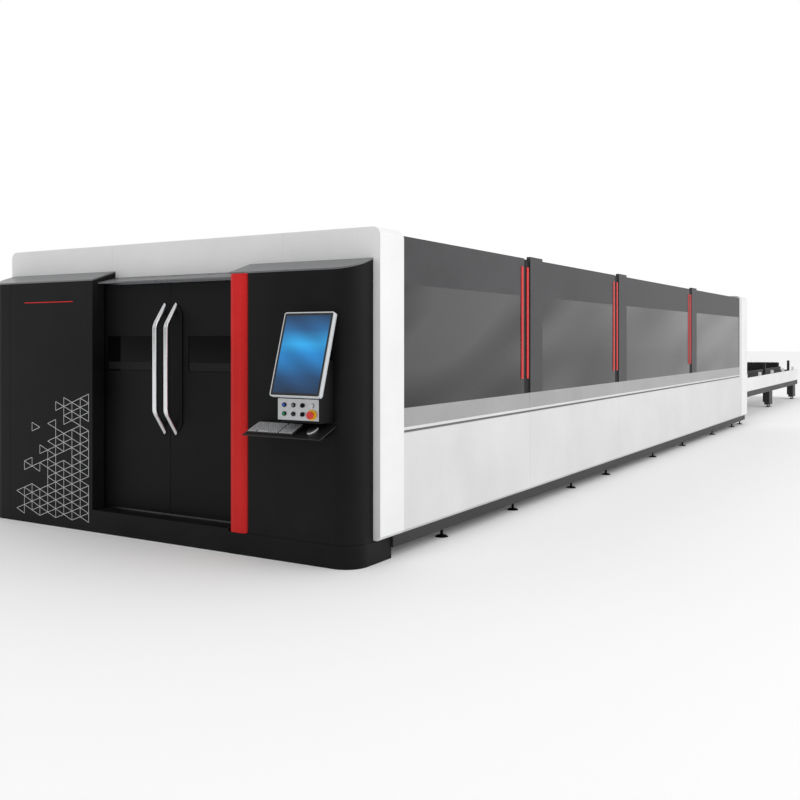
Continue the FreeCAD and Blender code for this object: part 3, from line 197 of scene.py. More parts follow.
black_coat = powder_coat("textured_black_powder_coat", "#0d0d0e", "#1f1f20", GRAIN_MM, 0.0006, 0.5, 0.12)
door_coat = powder_coat("textured_black_door_coat", "#0b0b0c", "#1a1a1b", GRAIN_MM, 0.0006, 0.48, 0.12)
grey_coat = powder_coat("textured_graphite_powder_coat", "#3b3b3d", "#535355", GRAIN_MM, 0.0006, 0.5, 0.2)
white_coat = powder_coat("satin_white_powder_coat", "#ececec", "#f8f8f8", PEEL_MM, 0.0001, 0.38, 0.3)
light_coat = powder_coat("satin_light_grey_powder_coat", "#979798", "#acacad", PEEL_MM, 0.0001, 0.36, 0.3)
panel_coat = powder_coat("satin_side_panel_coat", "#d6d6d6", "#e4e4e4", PEEL_MM, 0.0001, 0.4, 0.25)
# Roofs and door header: really black coat, drawn grey as a painted sheen for the light on their sloping tops.
roof_painted_sheen_coat = powder_coat("black_roof_painted_sheen_grey", "#5f6062", "#7b7c7e", PEEL_MM, 0.0001, 0.3)
red_coat = powder_coat("satin_signal_red_coat", "#c61717", "#e02525", PEEL_MM, 0.0001, 0.34, 0.2)
beam_coat = powder_coat("textured_dark_beam_coat", "#2b2b2c", "#3e3e3f", GRAIN_MM, 0.0006, 0.5, 0.2)
ledge_coat = powder_coat("textured_ledge_coat", "#161617", "#242425", GRAIN_MM, 0.0003, 0.5, 0.12)
frame_coat = powder_coat("machine_frame_enamel", "#3b3d40", "#505256", PEEL_MM, 0.0002, 0.45)
print("powder coats made")

# %% [markdown]
# The side panes and the door windows are laser safe polycarbonate or glass, tinted so
# dark that they read as gloss charcoal. What gives them away is the clear reflection:
# low roughness over a dark base. A slow noise drawn out along a slant paints a lighter
# diagonal band into the base colour, a painted reflection, and the same noise gives the
# sheet a very slow bump waviness.

# %% Dark glass
# Slant and size of the panes' noise, and the part of it that paints the sheen band into the base colour: a
# painted reflection.
SHEEN_TURN = math.radians(15.0)
SHEEN_METRES = (10.0, 2.6, 0.5)
SHEEN_RANGE = (0.38, 0.68)
GLASS_IOR = 1.45


def tinted_pane(name, dark, light, roughness, gloss):
    """A near opaque pane: noise drawn out along a slant paints a soft diagonal sheen into the base colour, a
    painted reflection, and gives a slow bump.
    """
    material, tree, output = start_material(name)
    slant = add(tree, "ShaderNodeMapping", {"vector_type": "TEXTURE"},
                {"Rotation": (SHEEN_TURN, 0.0, 0.0), "Scale": SHEEN_METRES},
                {"Vector": object_place(tree)})
    ripple_and_painted_sheen = add(tree, "ShaderNodeTexNoise", inputs={"Scale": 1.0, "Detail": 0.0},
                 links={"Vector": slant.outputs["Vector"]})
    # Painted reflection: the base colour runs from the dark tint to a lighter sheen along the slanted noise.
    color = tinted(tree, ripple_and_painted_sheen.outputs["Fac"], dark, light, *SHEEN_RANGE)
    bump = add(tree, "ShaderNodeBump", inputs={"Strength": 0.08, "Distance": 0.02},
               links={"Height": ripple_and_painted_sheen.outputs["Fac"]})
    shader = add(tree, "ShaderNodeBsdfPrincipled",
                 inputs={"Roughness": roughness, "IOR": GLASS_IOR, "Specular IOR Level": gloss},
                 links={"Base Color": color, "Normal": bump.outputs["Normal"]})
    tree.links.new(shader.outputs["BSDF"], output.inputs["Surface"])
    return material


# The lighter colour of each pane is its painted reflection band.
side_pane = tinted_pane("laser_safe_side_pane", "#0c0c0c", "#4a4a4a", 0.12, 0.33)
door_pane = tinted_pane("laser_safe_door_pane", "#040405", "#0a0a0b", 0.08, 0.1)

# %% [markdown]
# Bare metal comes in three kinds here: polished chrome on the handles, brushed or ground
# steel and aluminium on plates and rails, and dark mill scale on the cutting slats.
# Brushing is a noise stretched about fifty times along one axis, used for roughness and
# bump; mill scale is a mottled blue grey with rougher, burnt patches.

# %% Metals
SCRATCHES = 60.0
SCRATCH_RANGE = (0.3, 0.7)


def polished_chrome():
    """Chrome: near white metal with a trace of handling haze."""
    material, tree, output = start_material("polished_chrome")
    haze = add(tree, "ShaderNodeTexNoise", inputs={"Scale": 30.0, "Detail": 3.0},
               links={"Vector": object_place(tree)})
    rough = add(tree, "ShaderNodeMapRange", inputs={"To Min": 0.06, "To Max": 0.16},
                links={"Value": haze.outputs["Fac"]})
    shader = add(tree, "ShaderNodeBsdfPrincipled",
                 inputs={"Base Color": linear("#e6e7e9"), "Metallic": 1.0},
                 links={"Roughness": rough.outputs["Result"]})
    tree.links.new(shader.outputs["BSDF"], output.inputs["Surface"])
    return material


def brushed_metal(name, dark, light, stretch, roughness):
    """Brushed metal: noise at 60 a metre, times a stretch on each axis, in colour and bump."""
    material, tree, output = start_material(name)
    mapped = add(tree, "ShaderNodeMapping", inputs={"Scale": stretch}, links={"Vector": object_place(tree)})
    scratch = add(tree, "ShaderNodeTexNoise", inputs={"Scale": SCRATCHES, "Detail": 4.0, "Roughness": 0.7},
                  links={"Vector": mapped.outputs["Vector"]})
    color = tinted(tree, scratch.outputs["Fac"], dark, light, *SCRATCH_RANGE)
    rough = add(tree, "ShaderNodeMapRange", inputs={"To Min": roughness - 0.08, "To Max": roughness + 0.1},
                links={"Value": scratch.outputs["Fac"]})
    bump = add(tree, "ShaderNodeBump", inputs={"Strength": 0.15, "Distance": 0.0003},
               links={"Height": scratch.outputs["Fac"]})
    shader = add(tree, "ShaderNodeBsdfPrincipled", inputs={"Metallic": 1.0},
                 links={"Base Color": color, "Roughness": rough.outputs["Result"],
                        "Normal": bump.outputs["Normal"]})
    tree.links.new(shader.outputs["BSDF"], output.inputs["Surface"])
    return material


chrome = polished_chrome()
brushed_plate = brushed_metal("brushed_aluminium_plate", "#a9abad", "#cfd1d3", (0.4, 20.0, 20.0), 0.32)
ground_steel = brushed_metal("ground_guide_steel", "#85888c", "#b3b6ba", (20.0, 0.4, 20.0), 0.28)
mill_scale = brushed_metal("mill_scale_steel", "#2a2a2b", "#4f4d4c", (1.5, 1.5, 1.5), 0.55)
foot_steel = brushed_metal("blackened_foot_steel", "#101011", "#242425", (4.0, 4.0, 4.0), 0.5)

# %% [markdown]
# The operator's things are moulded plastic: ABS with the fine spark eroded texture of its
# mould on the keyboard and mouse, and glossier caps on the push buttons.

# %% Plastics
def moulded_plastic(name, dark, light, roughness, texture_mm=1.6):
    """Moulded plastic: an even colour with the mould's fine texture in the bump."""
    material, tree, output = start_material(name)
    texture = add(tree, "ShaderNodeTexNoise", inputs={"Scale": 1000.0 / texture_mm, "Detail": 2.0},
                  links={"Vector": object_place(tree)})
    color = tinted(tree, texture.outputs["Fac"], dark, light, 0.3, 0.7)
    bump = add(tree, "ShaderNodeBump", inputs={"Strength": 0.2, "Distance": 0.0002},
               links={"Height": texture.outputs["Fac"]})
    shader = add(tree, "ShaderNodeBsdfPrincipled", inputs={"Roughness": roughness, "IOR": 1.49},
                 links={"Base Color": color, "Normal": bump.outputs["Normal"]})
    tree.links.new(shader.outputs["BSDF"], output.inputs["Surface"])
    return material


black_abs = moulded_plastic("moulded_black_abs", "#121213", "#1d1d1f", 0.45)
key_abs = moulded_plastic("moulded_key_grey_abs", "#a6a8aa", "#c6c8ca", 0.42)
gloss_black = moulded_plastic("gloss_black_bezel", "#050506", "#0b0b0c", 0.22)
white_abs = moulded_plastic("moulded_white_abs", "#d4d6d8", "#e9eaeb", 0.38)
silver_abs = moulded_plastic("silver_bezel_lacquer", "#c3c6c9", "#dcdfe1", 0.25)
blue_cap = moulded_plastic("blue_button_cap", "#16429a", "#1f55b4", 0.25)
green_cap = moulded_plastic("green_button_cap", "#066a45", "#0c8457", 0.25)
stop_red = moulded_plastic("stop_button_red", "#c9231e", "#de3a30", 0.25)
stop_yellow = moulded_plastic("stop_collar_yellow", "#e8b413", "#f7cc2a", 0.35)
print("plastics made")

# %% [markdown]
# The display shows a plain blue field that is brightest just above mid height, crossed by
# soft slanting beams. Height runs through a colour ramp, and a sine of a slanted distance
# lightens and darkens it. Both come from the piece's own place, so the picture stays on
# the screen from every side.

# %% Display
FIELD = ((0.0, "#1a2f49"), (0.22, "#1d4f7e"), (0.5, "#1f86cd"), (0.62, "#2fa8ea"), (0.8, "#24649a"),
         (1.0, "#1d3b5c"))
BEAMS_PER_METRE = 26.0
BEAM_SLANT = 0.7
BEAM_SWING = 0.16


def lit_display(low, high):
    """A lit screen: colour = ramp(height) * (1 + 0.16 * sin(26 * (height + 0.7 * across)))."""
    material, tree, output = start_material("lit_display_field")
    split = add(tree, "ShaderNodeSeparateXYZ", links={"Vector": object_place(tree)})
    up = add(tree, "ShaderNodeMapRange", inputs={"From Min": low[2], "From Max": high[2]},
             links={"Value": split.outputs["Z"]})
    ramp = add(tree, "ShaderNodeValToRGB", links={"Fac": up.outputs["Result"]})
    stops = ramp.color_ramp.elements
    for place, code in FIELD[1:-1]:
        stops.new(place)
    for stop, (place, code) in zip(stops, FIELD):
        stop.position = place
        stop.color = linear(code)
    slant = add(tree, "ShaderNodeMath", {"operation": "MULTIPLY_ADD"}, {1: BEAM_SLANT},
                {0: split.outputs["X"], 2: split.outputs["Z"]})
    phase = add(tree, "ShaderNodeMath", {"operation": "MULTIPLY"}, {1: BEAMS_PER_METRE},
                {0: slant.outputs["Value"]})
    wave = add(tree, "ShaderNodeMath", {"operation": "SINE"}, links={0: phase.outputs["Value"]})
    swing = add(tree, "ShaderNodeMath", {"operation": "MULTIPLY_ADD"}, {1: BEAM_SWING, 2: 1.0},
                {0: wave.outputs["Value"]})
    color = add(tree, "ShaderNodeVectorMath", {"operation": "SCALE"},
                links={0: ramp.outputs["Color"], "Scale": swing.outputs["Value"]}).outputs["Vector"]
    shader = add(tree, "ShaderNodeBsdfPrincipled",
                 inputs={"Base Color": linear("#05070a"), "Roughness": 0.15, "Emission Strength": 0.9},
                 links={"Emission Color": color})
    tree.links.new(shader.outputs["BSDF"], output.inputs["Surface"])
    return material


SCREEN_LOW, SCREEN_HIGH = corners("monitor_screen")
display = lit_display(SCREEN_LOW, SCREEN_HIGH)

# %% [markdown]
# Each node of the construction keeps its mesh and gets the finish it has on the real
# machine; the black roofs and door header are drawn grey as a painted sheen, and the
# panes carry a painted reflection band.

# %% Finishes on the construction
FINISHES = {
    white_coat: ("front_portal", "rear_portal", "table_side_rails", "laser_source"),
    panel_coat: ("side_lower_panels", "rear_portal_strip"),
    light_coat: ("side_ledges", "rear_wall"),
    # painted sheen: the black roofs and door header drawn grey
    roof_painted_sheen_coat: ("cabinet_roofs", "door_header"),
    black_coat: ("left_cabinet", "right_cabinet", "front_plinths", "cabin_frame", "console_box"),
    beam_coat: ("base_beams", "table_frame"),
    door_coat: ("left_door", "right_door", "left_handle_plate", "right_handle_plate"),
    grey_coat: ("side_upper_frames", "roof_panels", "rear_lift_door"),
    red_coat: ("red_column", "red_side_strips"),
    side_pane: ("side_windows",),
    door_pane: ("left_window", "right_window"),
    chrome: ("left_handle", "right_handle"),
    brushed_plate: ("button_panel", "z_slide", "cutting_head"),
    ground_steel: ("door_track_and_guide", "bed_rails_and_racks", "gantry_rails", "key_switch"),
    mill_scale: ("lift_carriage",),
    foot_steel: ("levelling_feet",),
    frame_coat: ("bed_frame", "gantry_beam", "carriage"),
    gloss_black: ("button_bezels", "mode_selector", "feed_knob", "light_selector"),
    black_abs: ("keyboard_tray", "monitor_housing", "keyboard", "inner_pallet", "outer_pallet"),
    white_abs: ("mouse", "remote_holder"),
    green_cap: ("start_button",),
    blue_cap: ("reset_button",),
    stop_red: ("emergency_stop",),
    stop_yellow: ("stop_collar",),
    display: ("monitor_screen",),
}


def dress(node, material):
    """Puts one material in every slot of a node's mesh."""
    mesh = NODES[node].data
    if not mesh.materials:
        mesh.materials.append(material)
    for slot in NODES[node].material_slots:
        slot.material = material


for material, names in FINISHES.items():
    for name in names:
        dress(name, material)
bare = set(NODES) - {name for names in FINISHES.values() for name in names}
print("nodes without a finish:", sorted(bare))

# %% [markdown]
# New pieces are surfaces worked out as arrays. One helper turns arrays into a mesh object
# that rides on a body. The others work out many boxes at once, a loft through rings, and
# places on a surface that leans.

# %% Surface helpers
def piece(name, points, faces, body, slot, material, bevel=0.0, smooth=True):
    """A mesh object from points and faces that rides on a body, with an optional bevel."""
    mesh = bpy.data.meshes.new(name)
    mesh.from_pydata(np.asarray(points, dtype=float).tolist(), [], faces)
    mesh.materials.append(material)
    mesh.shade_smooth() if smooth else mesh.shade_flat()
    thing = bpy.data.objects.new(name, mesh)
    bpy.context.scene.collection.objects.link(thing)
    if bevel:
        rounding = thing.modifiers.new("edges", "BEVEL")
        rounding.width = bevel
        rounding.segments = 2
        rounding.harden_normals = True
    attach(thing, body)
    return thing


BOX_CORNERS = np.array([[i, j, k] for k in (0, 1) for j in (0, 1) for i in (0, 1)], dtype=float)
BOX_FACES = np.array([[0, 2, 3, 1], [4, 5, 7, 6], [0, 1, 5, 4], [2, 6, 7, 3], [0, 4, 6, 2], [1, 3, 7, 5]])


def boxes(lows, highs):
    """Points and outward faces of N boxes: corner = low + unit corner * (high - low)."""
    lows = np.atleast_2d(np.asarray(lows, dtype=float))
    highs = np.atleast_2d(np.asarray(highs, dtype=float))
    points = lows[:, None, :] + BOX_CORNERS[None] * (highs - lows)[:, None, :]
    faces = BOX_FACES[None] + 8 * np.arange(len(lows))[:, None, None]
    return points.reshape(-1, 3), faces.reshape(-1, 4).tolist()


def leaning(origin, angle, local):
    """Local (across, inward, up) turned about X by an angle and moved to an origin."""
    local = np.asarray(local, dtype=float)
    across, inward, up = local[..., 0], local[..., 1], local[..., 2]
    turned = np.stack([across, inward * math.cos(angle) - up * math.sin(angle),
                       inward * math.sin(angle) + up * math.cos(angle)], axis=-1)
    return turned + np.asarray(origin)


def loft(rings):
    """Closed rings of equal length joined by quads, and each end closed with one face."""
    rings = np.asarray(rings, dtype=float)
    count, size = rings.shape[:2]
    index = np.arange(count * size).reshape(count, size)
    ahead = np.roll(index, -1, axis=1)
    faces = np.stack([index[:-1], ahead[:-1], ahead[1:], index[1:]], axis=-1).reshape(-1, 4).tolist()
    return rings.reshape(-1, 3), faces + [index[0][::-1].tolist(), index[-1].tolist()]


def loft_piece(name, rings, body, slot, material, smooth=True):
    """A piece lofted through rings."""
    return piece(name, *loft(rings), body, slot, material, smooth=smooth)


# %% [markdown]
# The monitor is a flat industrial panel: a silver lacquered frame with rounded corners
# round a black bezel. A rounded rectangle is carried through the section of the frame,
# ring by ring, from the back edge over the rounded front lip to the bezel.

# %% Monitor frame
MONITOR_TILT = math.radians(-17.0)
MONITOR_THICK = 0.038
MONITOR_ROUND = 0.02
RIM = 0.0095
BEZEL = 0.0265


def rounded_rectangle(width, height, radius, inset, steps=8):
    """A closed outline: four quarter circles of radius (radius - inset) about fixed centres."""
    quarter = np.linspace(0.0, math.pi / 2, steps)
    turns = np.concatenate([quarter + side * math.pi / 2 for side in range(4)])
    centres = np.repeat([[width - radius, height - radius], [radius, height - radius],
                         [radius, radius], [width - radius, radius]], steps, axis=0)
    reach = max(radius - inset, 0.0005)
    shift = inset - (radius - reach)
    outward = np.stack([np.cos(turns), np.sin(turns)], axis=1)
    signs = np.sign(centres - [width / 2, height / 2])
    return centres + outward * reach - signs * shift


monitor_low, monitor_high = corners("monitor_housing")
MONITOR_WIDE = monitor_high[0] - monitor_low[0]
MONITOR_HIGH = ((monitor_high[2] - monitor_low[2] + MONITOR_THICK * math.sin(MONITOR_TILT))
                / math.cos(MONITOR_TILT))
monitor_origin = np.array([monitor_low[0], monitor_low[1],
                           monitor_low[2] - MONITOR_THICK * math.sin(MONITOR_TILT)])
SECTION = [(0.004, 0.038), (0.0, 0.034), (0.0, 0.004), (0.0012, 0.0012), (0.004, 0.0), (RIM - 0.001, 0.0),
           (RIM, 0.0012), (RIM, 0.003)]


def monitor_ring(inset, inward):
    """One ring of the frame's section, at an inset from the outline and a depth."""
    outline = rounded_rectangle(MONITOR_WIDE, MONITOR_HIGH, MONITOR_ROUND, inset)
    local = np.stack([outline[:, 0], np.full(len(outline), inward), outline[:, 1]], axis=1)
    return leaning(monitor_origin, MONITOR_TILT, local)


frame_rings = [monitor_ring(inset, inward) for inset, inward in SECTION]
monitor_frame = loft_piece("monitor_frame", frame_rings, "machine", "brushed_alu", silver_abs)
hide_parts("monitor_housing")
BEZEL_DEEP = 0.0018
PANE_DEEP = 0.0014
HIDDEN = 0.0029          # ends of the rings, out of sight behind the faces
bezel_rings = [monitor_ring(RIM, HIDDEN), monitor_ring(RIM + 0.0001, BEZEL_DEEP),
               monitor_ring(BEZEL, BEZEL_DEEP), monitor_ring(BEZEL + 0.0003, HIDDEN)]
loft_piece("monitor_bezel", bezel_rings, "machine", "black_plastic", black_abs, smooth=False)
print("monitor frame points:", len(monitor_frame.data.vertices))

# %% [markdown]
# The display itself fills the bezel, a hair in front of its face.

# %% Display pane
pane_rings = [monitor_ring(BEZEL - 0.0003, 0.0026), monitor_ring(BEZEL - 0.0003, PANE_DEEP)]
pane = loft_piece("display_pane", pane_rings, "machine", "screen_glass", display, smooth=False)
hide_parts("monitor_screen")

# %% [markdown]
# The unused eighth place of the button panel is closed with a silver blanking cap: a low
# disc with a rounded edge, turned from a section of five rings.

# %% Blanking cap
CAP_RADIUS = 0.0165
CAP_FROM_RIGHT = 0.012
CAP_BELOW_TOP = 0.017
CAP_PROUD = 0.0006
CAP_STEPS = 32
CAP_SECTION = ((0.0004, 1.0), (-0.0028, 1.0), (-0.0038, 0.95), (-0.0042, 0.85), (-0.0042, 0.1))
bezel_low, bezel_high = corners("button_bezels")
cap_middle = np.array([bezel_high[0] - CAP_FROM_RIGHT, bezel_low[1], bezel_high[2] - CAP_BELOW_TOP])
cap_turns = np.linspace(0.0, 2 * math.pi, CAP_STEPS, endpoint=False)
cap_rings = [cap_middle + np.stack([CAP_RADIUS * share * np.cos(cap_turns),
                                    np.full(CAP_STEPS, shift - CAP_PROUD),
                                    CAP_RADIUS * share * np.sin(cap_turns)], axis=1)
             for shift, share in CAP_SECTION]
loft_piece("blanking_cap", cap_rings, "machine", "brushed_alu", silver_abs)

# %% [markdown]
# The keyboard is a thin grey slab with rows of tapered caps. Key widths follow the usual
# office layout: a block of fourteen columns, a narrow gap, and a block of six. All caps
# are made at once from arrays of their left edges and widths.

# %% Keyboard
TRAY_TILT = math.radians(22.0)
key_low, key_high = corners("keyboard")
KEY_THICK = 0.018
KEY_DEEP = 0.165
KEY_WIDE = key_high[0] - key_low[0]
key_origin = np.array([key_low[0], key_low[1] + KEY_THICK * math.sin(TRAY_TILT), key_low[2]])
slab_points, slab_faces = boxes([0, 0, 0], [KEY_WIDE, KEY_DEEP, 0.009])
slab = piece("keyboard_slab", leaning(key_origin, TRAY_TILT, slab_points), slab_faces, "machine",
             "black_plastic", black_abs, bevel=0.003)
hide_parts("keyboard")

UNIT = 0.0195
KEY_GAP = 0.0024
SIDE_BLOCK = 14.5
UNITS_ACROSS = 21
ROWS = 6
ROW_PITCH = 0.024
EDGE = 0.010             # slab in front of the first row and behind the last
CAP_FOOT = 0.008
CAP_TOP = 0.0155
CAP_TAPER = 0.80
rows = np.arange(ROWS)
main = [(column * UNIT, row) for row in rows for column in range(14)]
side = [((SIDE_BLOCK + column) * UNIT, row) for row in rows for column in range(6)]
keys = np.array(main + side)
space_bar = (keys[:, 1] == 0) & (keys[:, 0] > 3.5 * UNIT) & (keys[:, 0] < 9.5 * UNIT)
keys = keys[~space_bar]
lefts = np.append(keys[:, 0], 4 * UNIT)
widths = np.append(np.full(len(keys), UNIT), 6 * UNIT)
fronts = np.append(keys[:, 1], 0) * (KEY_DEEP - 2 * EDGE) / ROWS + EDGE
MARGIN = (KEY_WIDE - UNITS_ACROSS * UNIT) / 2
lows = np.stack([MARGIN + lefts + KEY_GAP, fronts + KEY_GAP, np.full(len(lefts), CAP_FOOT)], axis=1)
highs = np.stack([MARGIN + lefts + widths - KEY_GAP, fronts + ROW_PITCH - KEY_GAP,
                  np.full(len(lefts), CAP_TOP)], axis=1)
cap_points, cap_faces = boxes(lows, highs)
middles = np.repeat((lows + highs) / 2, 8, axis=0)
tops = cap_points[:, 2] > (CAP_FOOT + CAP_TOP) / 2
cap_points[tops, :2] = middles[tops, :2] + (cap_points[tops, :2] - middles[tops, :2]) * CAP_TAPER
piece("keyboard_caps", leaning(key_origin, TRAY_TILT, cap_points), cap_faces, "machine",
      "black_plastic", key_abs, smooth=False)
print("key caps:", len(lefts))

# %% [markdown]
# The mouse is a smooth shell: half an ellipsoid whose back is fuller than its front. Its
# height is (1 - u^2 - v^2) to a power below one half, which gives steep sides and a flat
# top, and the plan is pulled in slightly at the middle. The flanks are silver and the top
# is black.

# %% Mouse
mouse_low, mouse_high = corners("mouse")
MOUSE_WIDE = mouse_high[0] - mouse_low[0]
MOUSE_LONG = 0.112
MOUSE_TALL = 0.030
MOUSE_STEPS = 40
WAIST = 0.08
HEEL = 0.18              # how much lower the back edge starts than the front
BULGE = 2.6
mouse_origin = np.array([mouse_low[0], mouse_low[1] + MOUSE_TALL * math.sin(TRAY_TILT) * 0.55, mouse_low[2]])
around = np.linspace(0.0, 2 * math.pi, MOUSE_STEPS, endpoint=False)
rise = np.linspace(0.0, 1.0, 12)
mouse_rings = []
for level in rise:
    reach = (1.0 - level ** BULGE) ** 0.5 if level < 1.0 else 0.02
    waist = 1.0 - WAIST * np.cos(2 * around)
    across = MOUSE_WIDE / 2 + np.cos(around) * MOUSE_WIDE / 2 * reach * np.clip(waist, 0, 1)
    inward = MOUSE_LONG / 2 + np.sin(around) * MOUSE_LONG / 2 * reach
    up = MOUSE_TALL * level * (1.0 - HEEL * np.sin(around) * (1 - level))
    mouse_rings.append(leaning(mouse_origin, TRAY_TILT, np.stack([across, inward, up], axis=1)))
mouse = loft_piece("mouse_shell", mouse_rings, "machine", "white_plastic", silver_abs)
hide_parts("mouse")
mouse.data.materials.append(black_abs)
for face in mouse.data.polygons:
    face.material_index = int(face.index // len(around) >= len(rise) // 3)

# %% [markdown]
# The lower half of the left cabinet carries a printed pattern: outlined triangles that
# thin out to the left and upwards. Triangles stand on a lattice of upright columns, each
# shifted half a step from the last. A seeded draw keeps a triangle with a chance that
# grows to the right and downwards as 0.92 / (1 + exp(7 (away - 0.95))), where away is the
# distance from the lower right corner. Each kept edge becomes one thin raised ribbon.

# %% Printed triangles
STEP_UP = 0.077
STEP_ACROSS = 0.1035
LINE = 0.0042
PRINT_BOTTOM = 0.075
PRINT_FROM_EDGE = 0.045
PRINT_PROUD = 0.0006
rng = np.random.default_rng(11)
print_right = CABINET_HIGH[0] - PRINT_FROM_EDGE
edges = set()
COLUMNS = 9
LEVELS = 14
DENSEST = 0.92
FALL = 7.0
REACH = 0.95
for column in range(COLUMNS):
    for level in range(LEVELS):
        away = column / COLUMNS + level / LEVELS
        chance = DENSEST / (1.0 + math.exp(FALL * (away - REACH)))
        shift = (column % 2) / 2
        for side_sign in (1, -1):
            if rng.random() > chance:
                continue
            if column + side_sign < 0:
                continue
            first = (column, level + shift)
            second = (column, level + 1 + shift)
            apex = (column + side_sign, level + 0.5 + shift)
            for pair in ((first, second), (first, apex), (second, apex)):
                edges.add(tuple(sorted(pair)))
ends = np.array(sorted(edges))
starts, stops = (np.stack([print_right - ends[:, end, 0] * STEP_ACROSS,
                           PRINT_BOTTOM + ends[:, end, 1] * STEP_UP], axis=1) for end in (0, 1))
runs = stops - starts
runs /= np.linalg.norm(runs, axis=1)[:, None]
sides = np.stack([-runs[:, 1], runs[:, 0]], axis=1) * LINE / 2
front_y = CABINET_LOW[1]
flat = np.stack([starts - sides, stops - sides, stops + sides, starts + sides], axis=1)
outer = np.stack([flat[..., 0], np.full(flat.shape[:2], front_y - PRINT_PROUD), flat[..., 1]], axis=-1)
inner = outer + [0.0, PRINT_PROUD * 0.9, 0.0]
ribbon_points = np.concatenate([outer, inner], axis=1).reshape(-1, 3)
RIBBON_FACES = np.array([[0, 1, 2, 3], [7, 6, 5, 4], [0, 4, 5, 1], [1, 5, 6, 2], [2, 6, 7, 3], [3, 7, 4, 0]])
ribbon_faces = (RIBBON_FACES[None] + 8 * np.arange(len(flat))[:, None, None]).reshape(-1, 4).tolist()
printed_white = moulded_plastic("screen_printed_white", "#c8cacc", "#dedfe0", 0.5)
piece("printed_triangles", ribbon_points, ribbon_faces, "machine", "white_paint", printed_white, smooth=False)
print("printed edges:", len(flat))

# %% [markdown]
# A thin red rule is printed high on the same cabinet.

# %% Red rule
RULE_LONG = 0.63
RULE_LOW = 1.930
RULE_HIGH = 1.938
rule_left = CABINET_LOW[0] + 0.48
rule_points, rule_faces = boxes([rule_left, front_y - PRINT_PROUD, RULE_LOW],
                                [rule_left + RULE_LONG, front_y - PRINT_PROUD * 0.1, RULE_HIGH])
piece("printed_red_rule", rule_points, rule_faces, "machine", "red_paint", red_coat, smooth=False)

# %% [markdown]
# Cutting slats are laser cut strips whose upper edge is a row of points, so that the
# sheet rests on little more than tips. Each slat's section is a closed loop of four
# points carried along X, and the upper two follow a triangle wave.

# %% Pallets
TOOTH = 0.040
TOOTH_DEEP = 0.028
SLAT_THICK = 0.004
PALLET_BEAM = 0.100
SLAT_PITCH = 0.200
CROSS_TUBES = 5


def pallet_pieces(node, body):
    """A welded tube frame and its toothed slats, in place of a plain pallet."""
    low, high = corners(node)
    deck = low[2] + PALLET_BEAM
    cross = np.linspace(low[1], high[1] - PALLET_BEAM, CROSS_TUBES)
    frame_low = [[low[0], low[1], low[2]], [high[0] - PALLET_BEAM, low[1], low[2]]]
    frame_high = [[low[0] + PALLET_BEAM, high[1], deck], [high[0], high[1], deck]]
    frame_low += [[low[0] + PALLET_BEAM, y, low[2]] for y in cross]
    frame_high += [[high[0] - PALLET_BEAM, y + PALLET_BEAM, deck] for y in cross]
    points, faces = boxes(frame_low, frame_high)
    tubes = piece(node + "_tubes", points, faces, body, "raw_steel", mill_scale, bevel=0.006)
    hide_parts(node)
    count = int((high[1] - low[1] - PALLET_BEAM) / SLAT_PITCH)
    starts_y = low[1] + PALLET_BEAM + np.arange(count) * SLAT_PITCH
    teeth = int((high[0] - low[0]) / TOOTH)
    xs = np.linspace(low[0], high[0], 2 * teeth + 1)
    wave = high[2] - TOOTH_DEEP * (np.arange(len(xs)) % 2 == 0)
    section = np.empty((count, len(xs), 4, 3))
    section[..., 0] = xs[None, :, None]
    section[..., 1] = starts_y[:, None, None] + np.array([0, SLAT_THICK, SLAT_THICK, 0])[None, None, :]
    section[..., :2, 2] = deck
    section[..., 2:, 2] = wave[None, :, None]
    index = np.arange(count * len(xs) * 4).reshape(count, len(xs), 4)
    ahead = np.roll(index, -1, axis=2)
    walls = np.stack([index[:, :-1], index[:, 1:], ahead[:, 1:], ahead[:, :-1]], axis=-1).reshape(-1, 4)
    caps_first = index[:, 0, :].reshape(-1, 4)
    caps_last = index[:, -1, ::-1].reshape(-1, 4)
    faces = np.concatenate([walls, caps_first, caps_last]).tolist()
    return piece(node + "_slats", section.reshape(-1, 3), faces, body, "raw_steel", mill_scale, smooth=False)


for node, body in (("inner_pallet", "inner_pallet_body"), ("outer_pallet", "outer_pallet_body")):
    slats = pallet_pieces(node, body)
    print(node, "slat faces:", len(slats.data.polygons))

# %% [markdown]
# Behind each door window, the leaf's folded inner flange shows as a lighter band along
# the lower edge of the glass.

# %% Window ledges
for name in ("left", "right"):
    low, high = corners(name + "_window")
    leaf_low, leaf_high = corners(name + "_door")
    points, faces = boxes([low[0] + 0.012, low[1] - 0.003, low[2] + 0.012],
                          [high[0] - 0.004, low[1], low[2] + 0.075])
    piece(name + "_window_ledge", points, faces, name + "_door_body", "textured_black", ledge_coat,
          bevel=0.001)

# %% [markdown]
# A grey strip lies in the groove between each bay's lower panel and the folded lip
# above it: painted shade, standing for the dark line of shadow in the groove. The groove is
# found from the panel node itself: it is the widest step between neighbouring heights of
# its corners near the top of the panel.

# %% Groove shade strips
SHADE_STRIP_DEEP = 0.004
GROOVE_DEEP = 0.008
SHADE_STRIP_PLAY = 0.0003
panel_low, panel_high = corners("side_lower_panels")
panel_mesh = NODES["side_lower_panels"]
heights = np.unique(np.round([(panel_mesh.matrix_world @ corner.co)[2]
                              for corner in panel_mesh.data.vertices], 4))
near_lip = heights[heights > heights[-1] - 0.08]
step = int(np.argmax(np.diff(near_lip)[:-1]))
groove_low, groove_high = near_lip[step] + SHADE_STRIP_PLAY, near_lip[step + 1] - SHADE_STRIP_PLAY
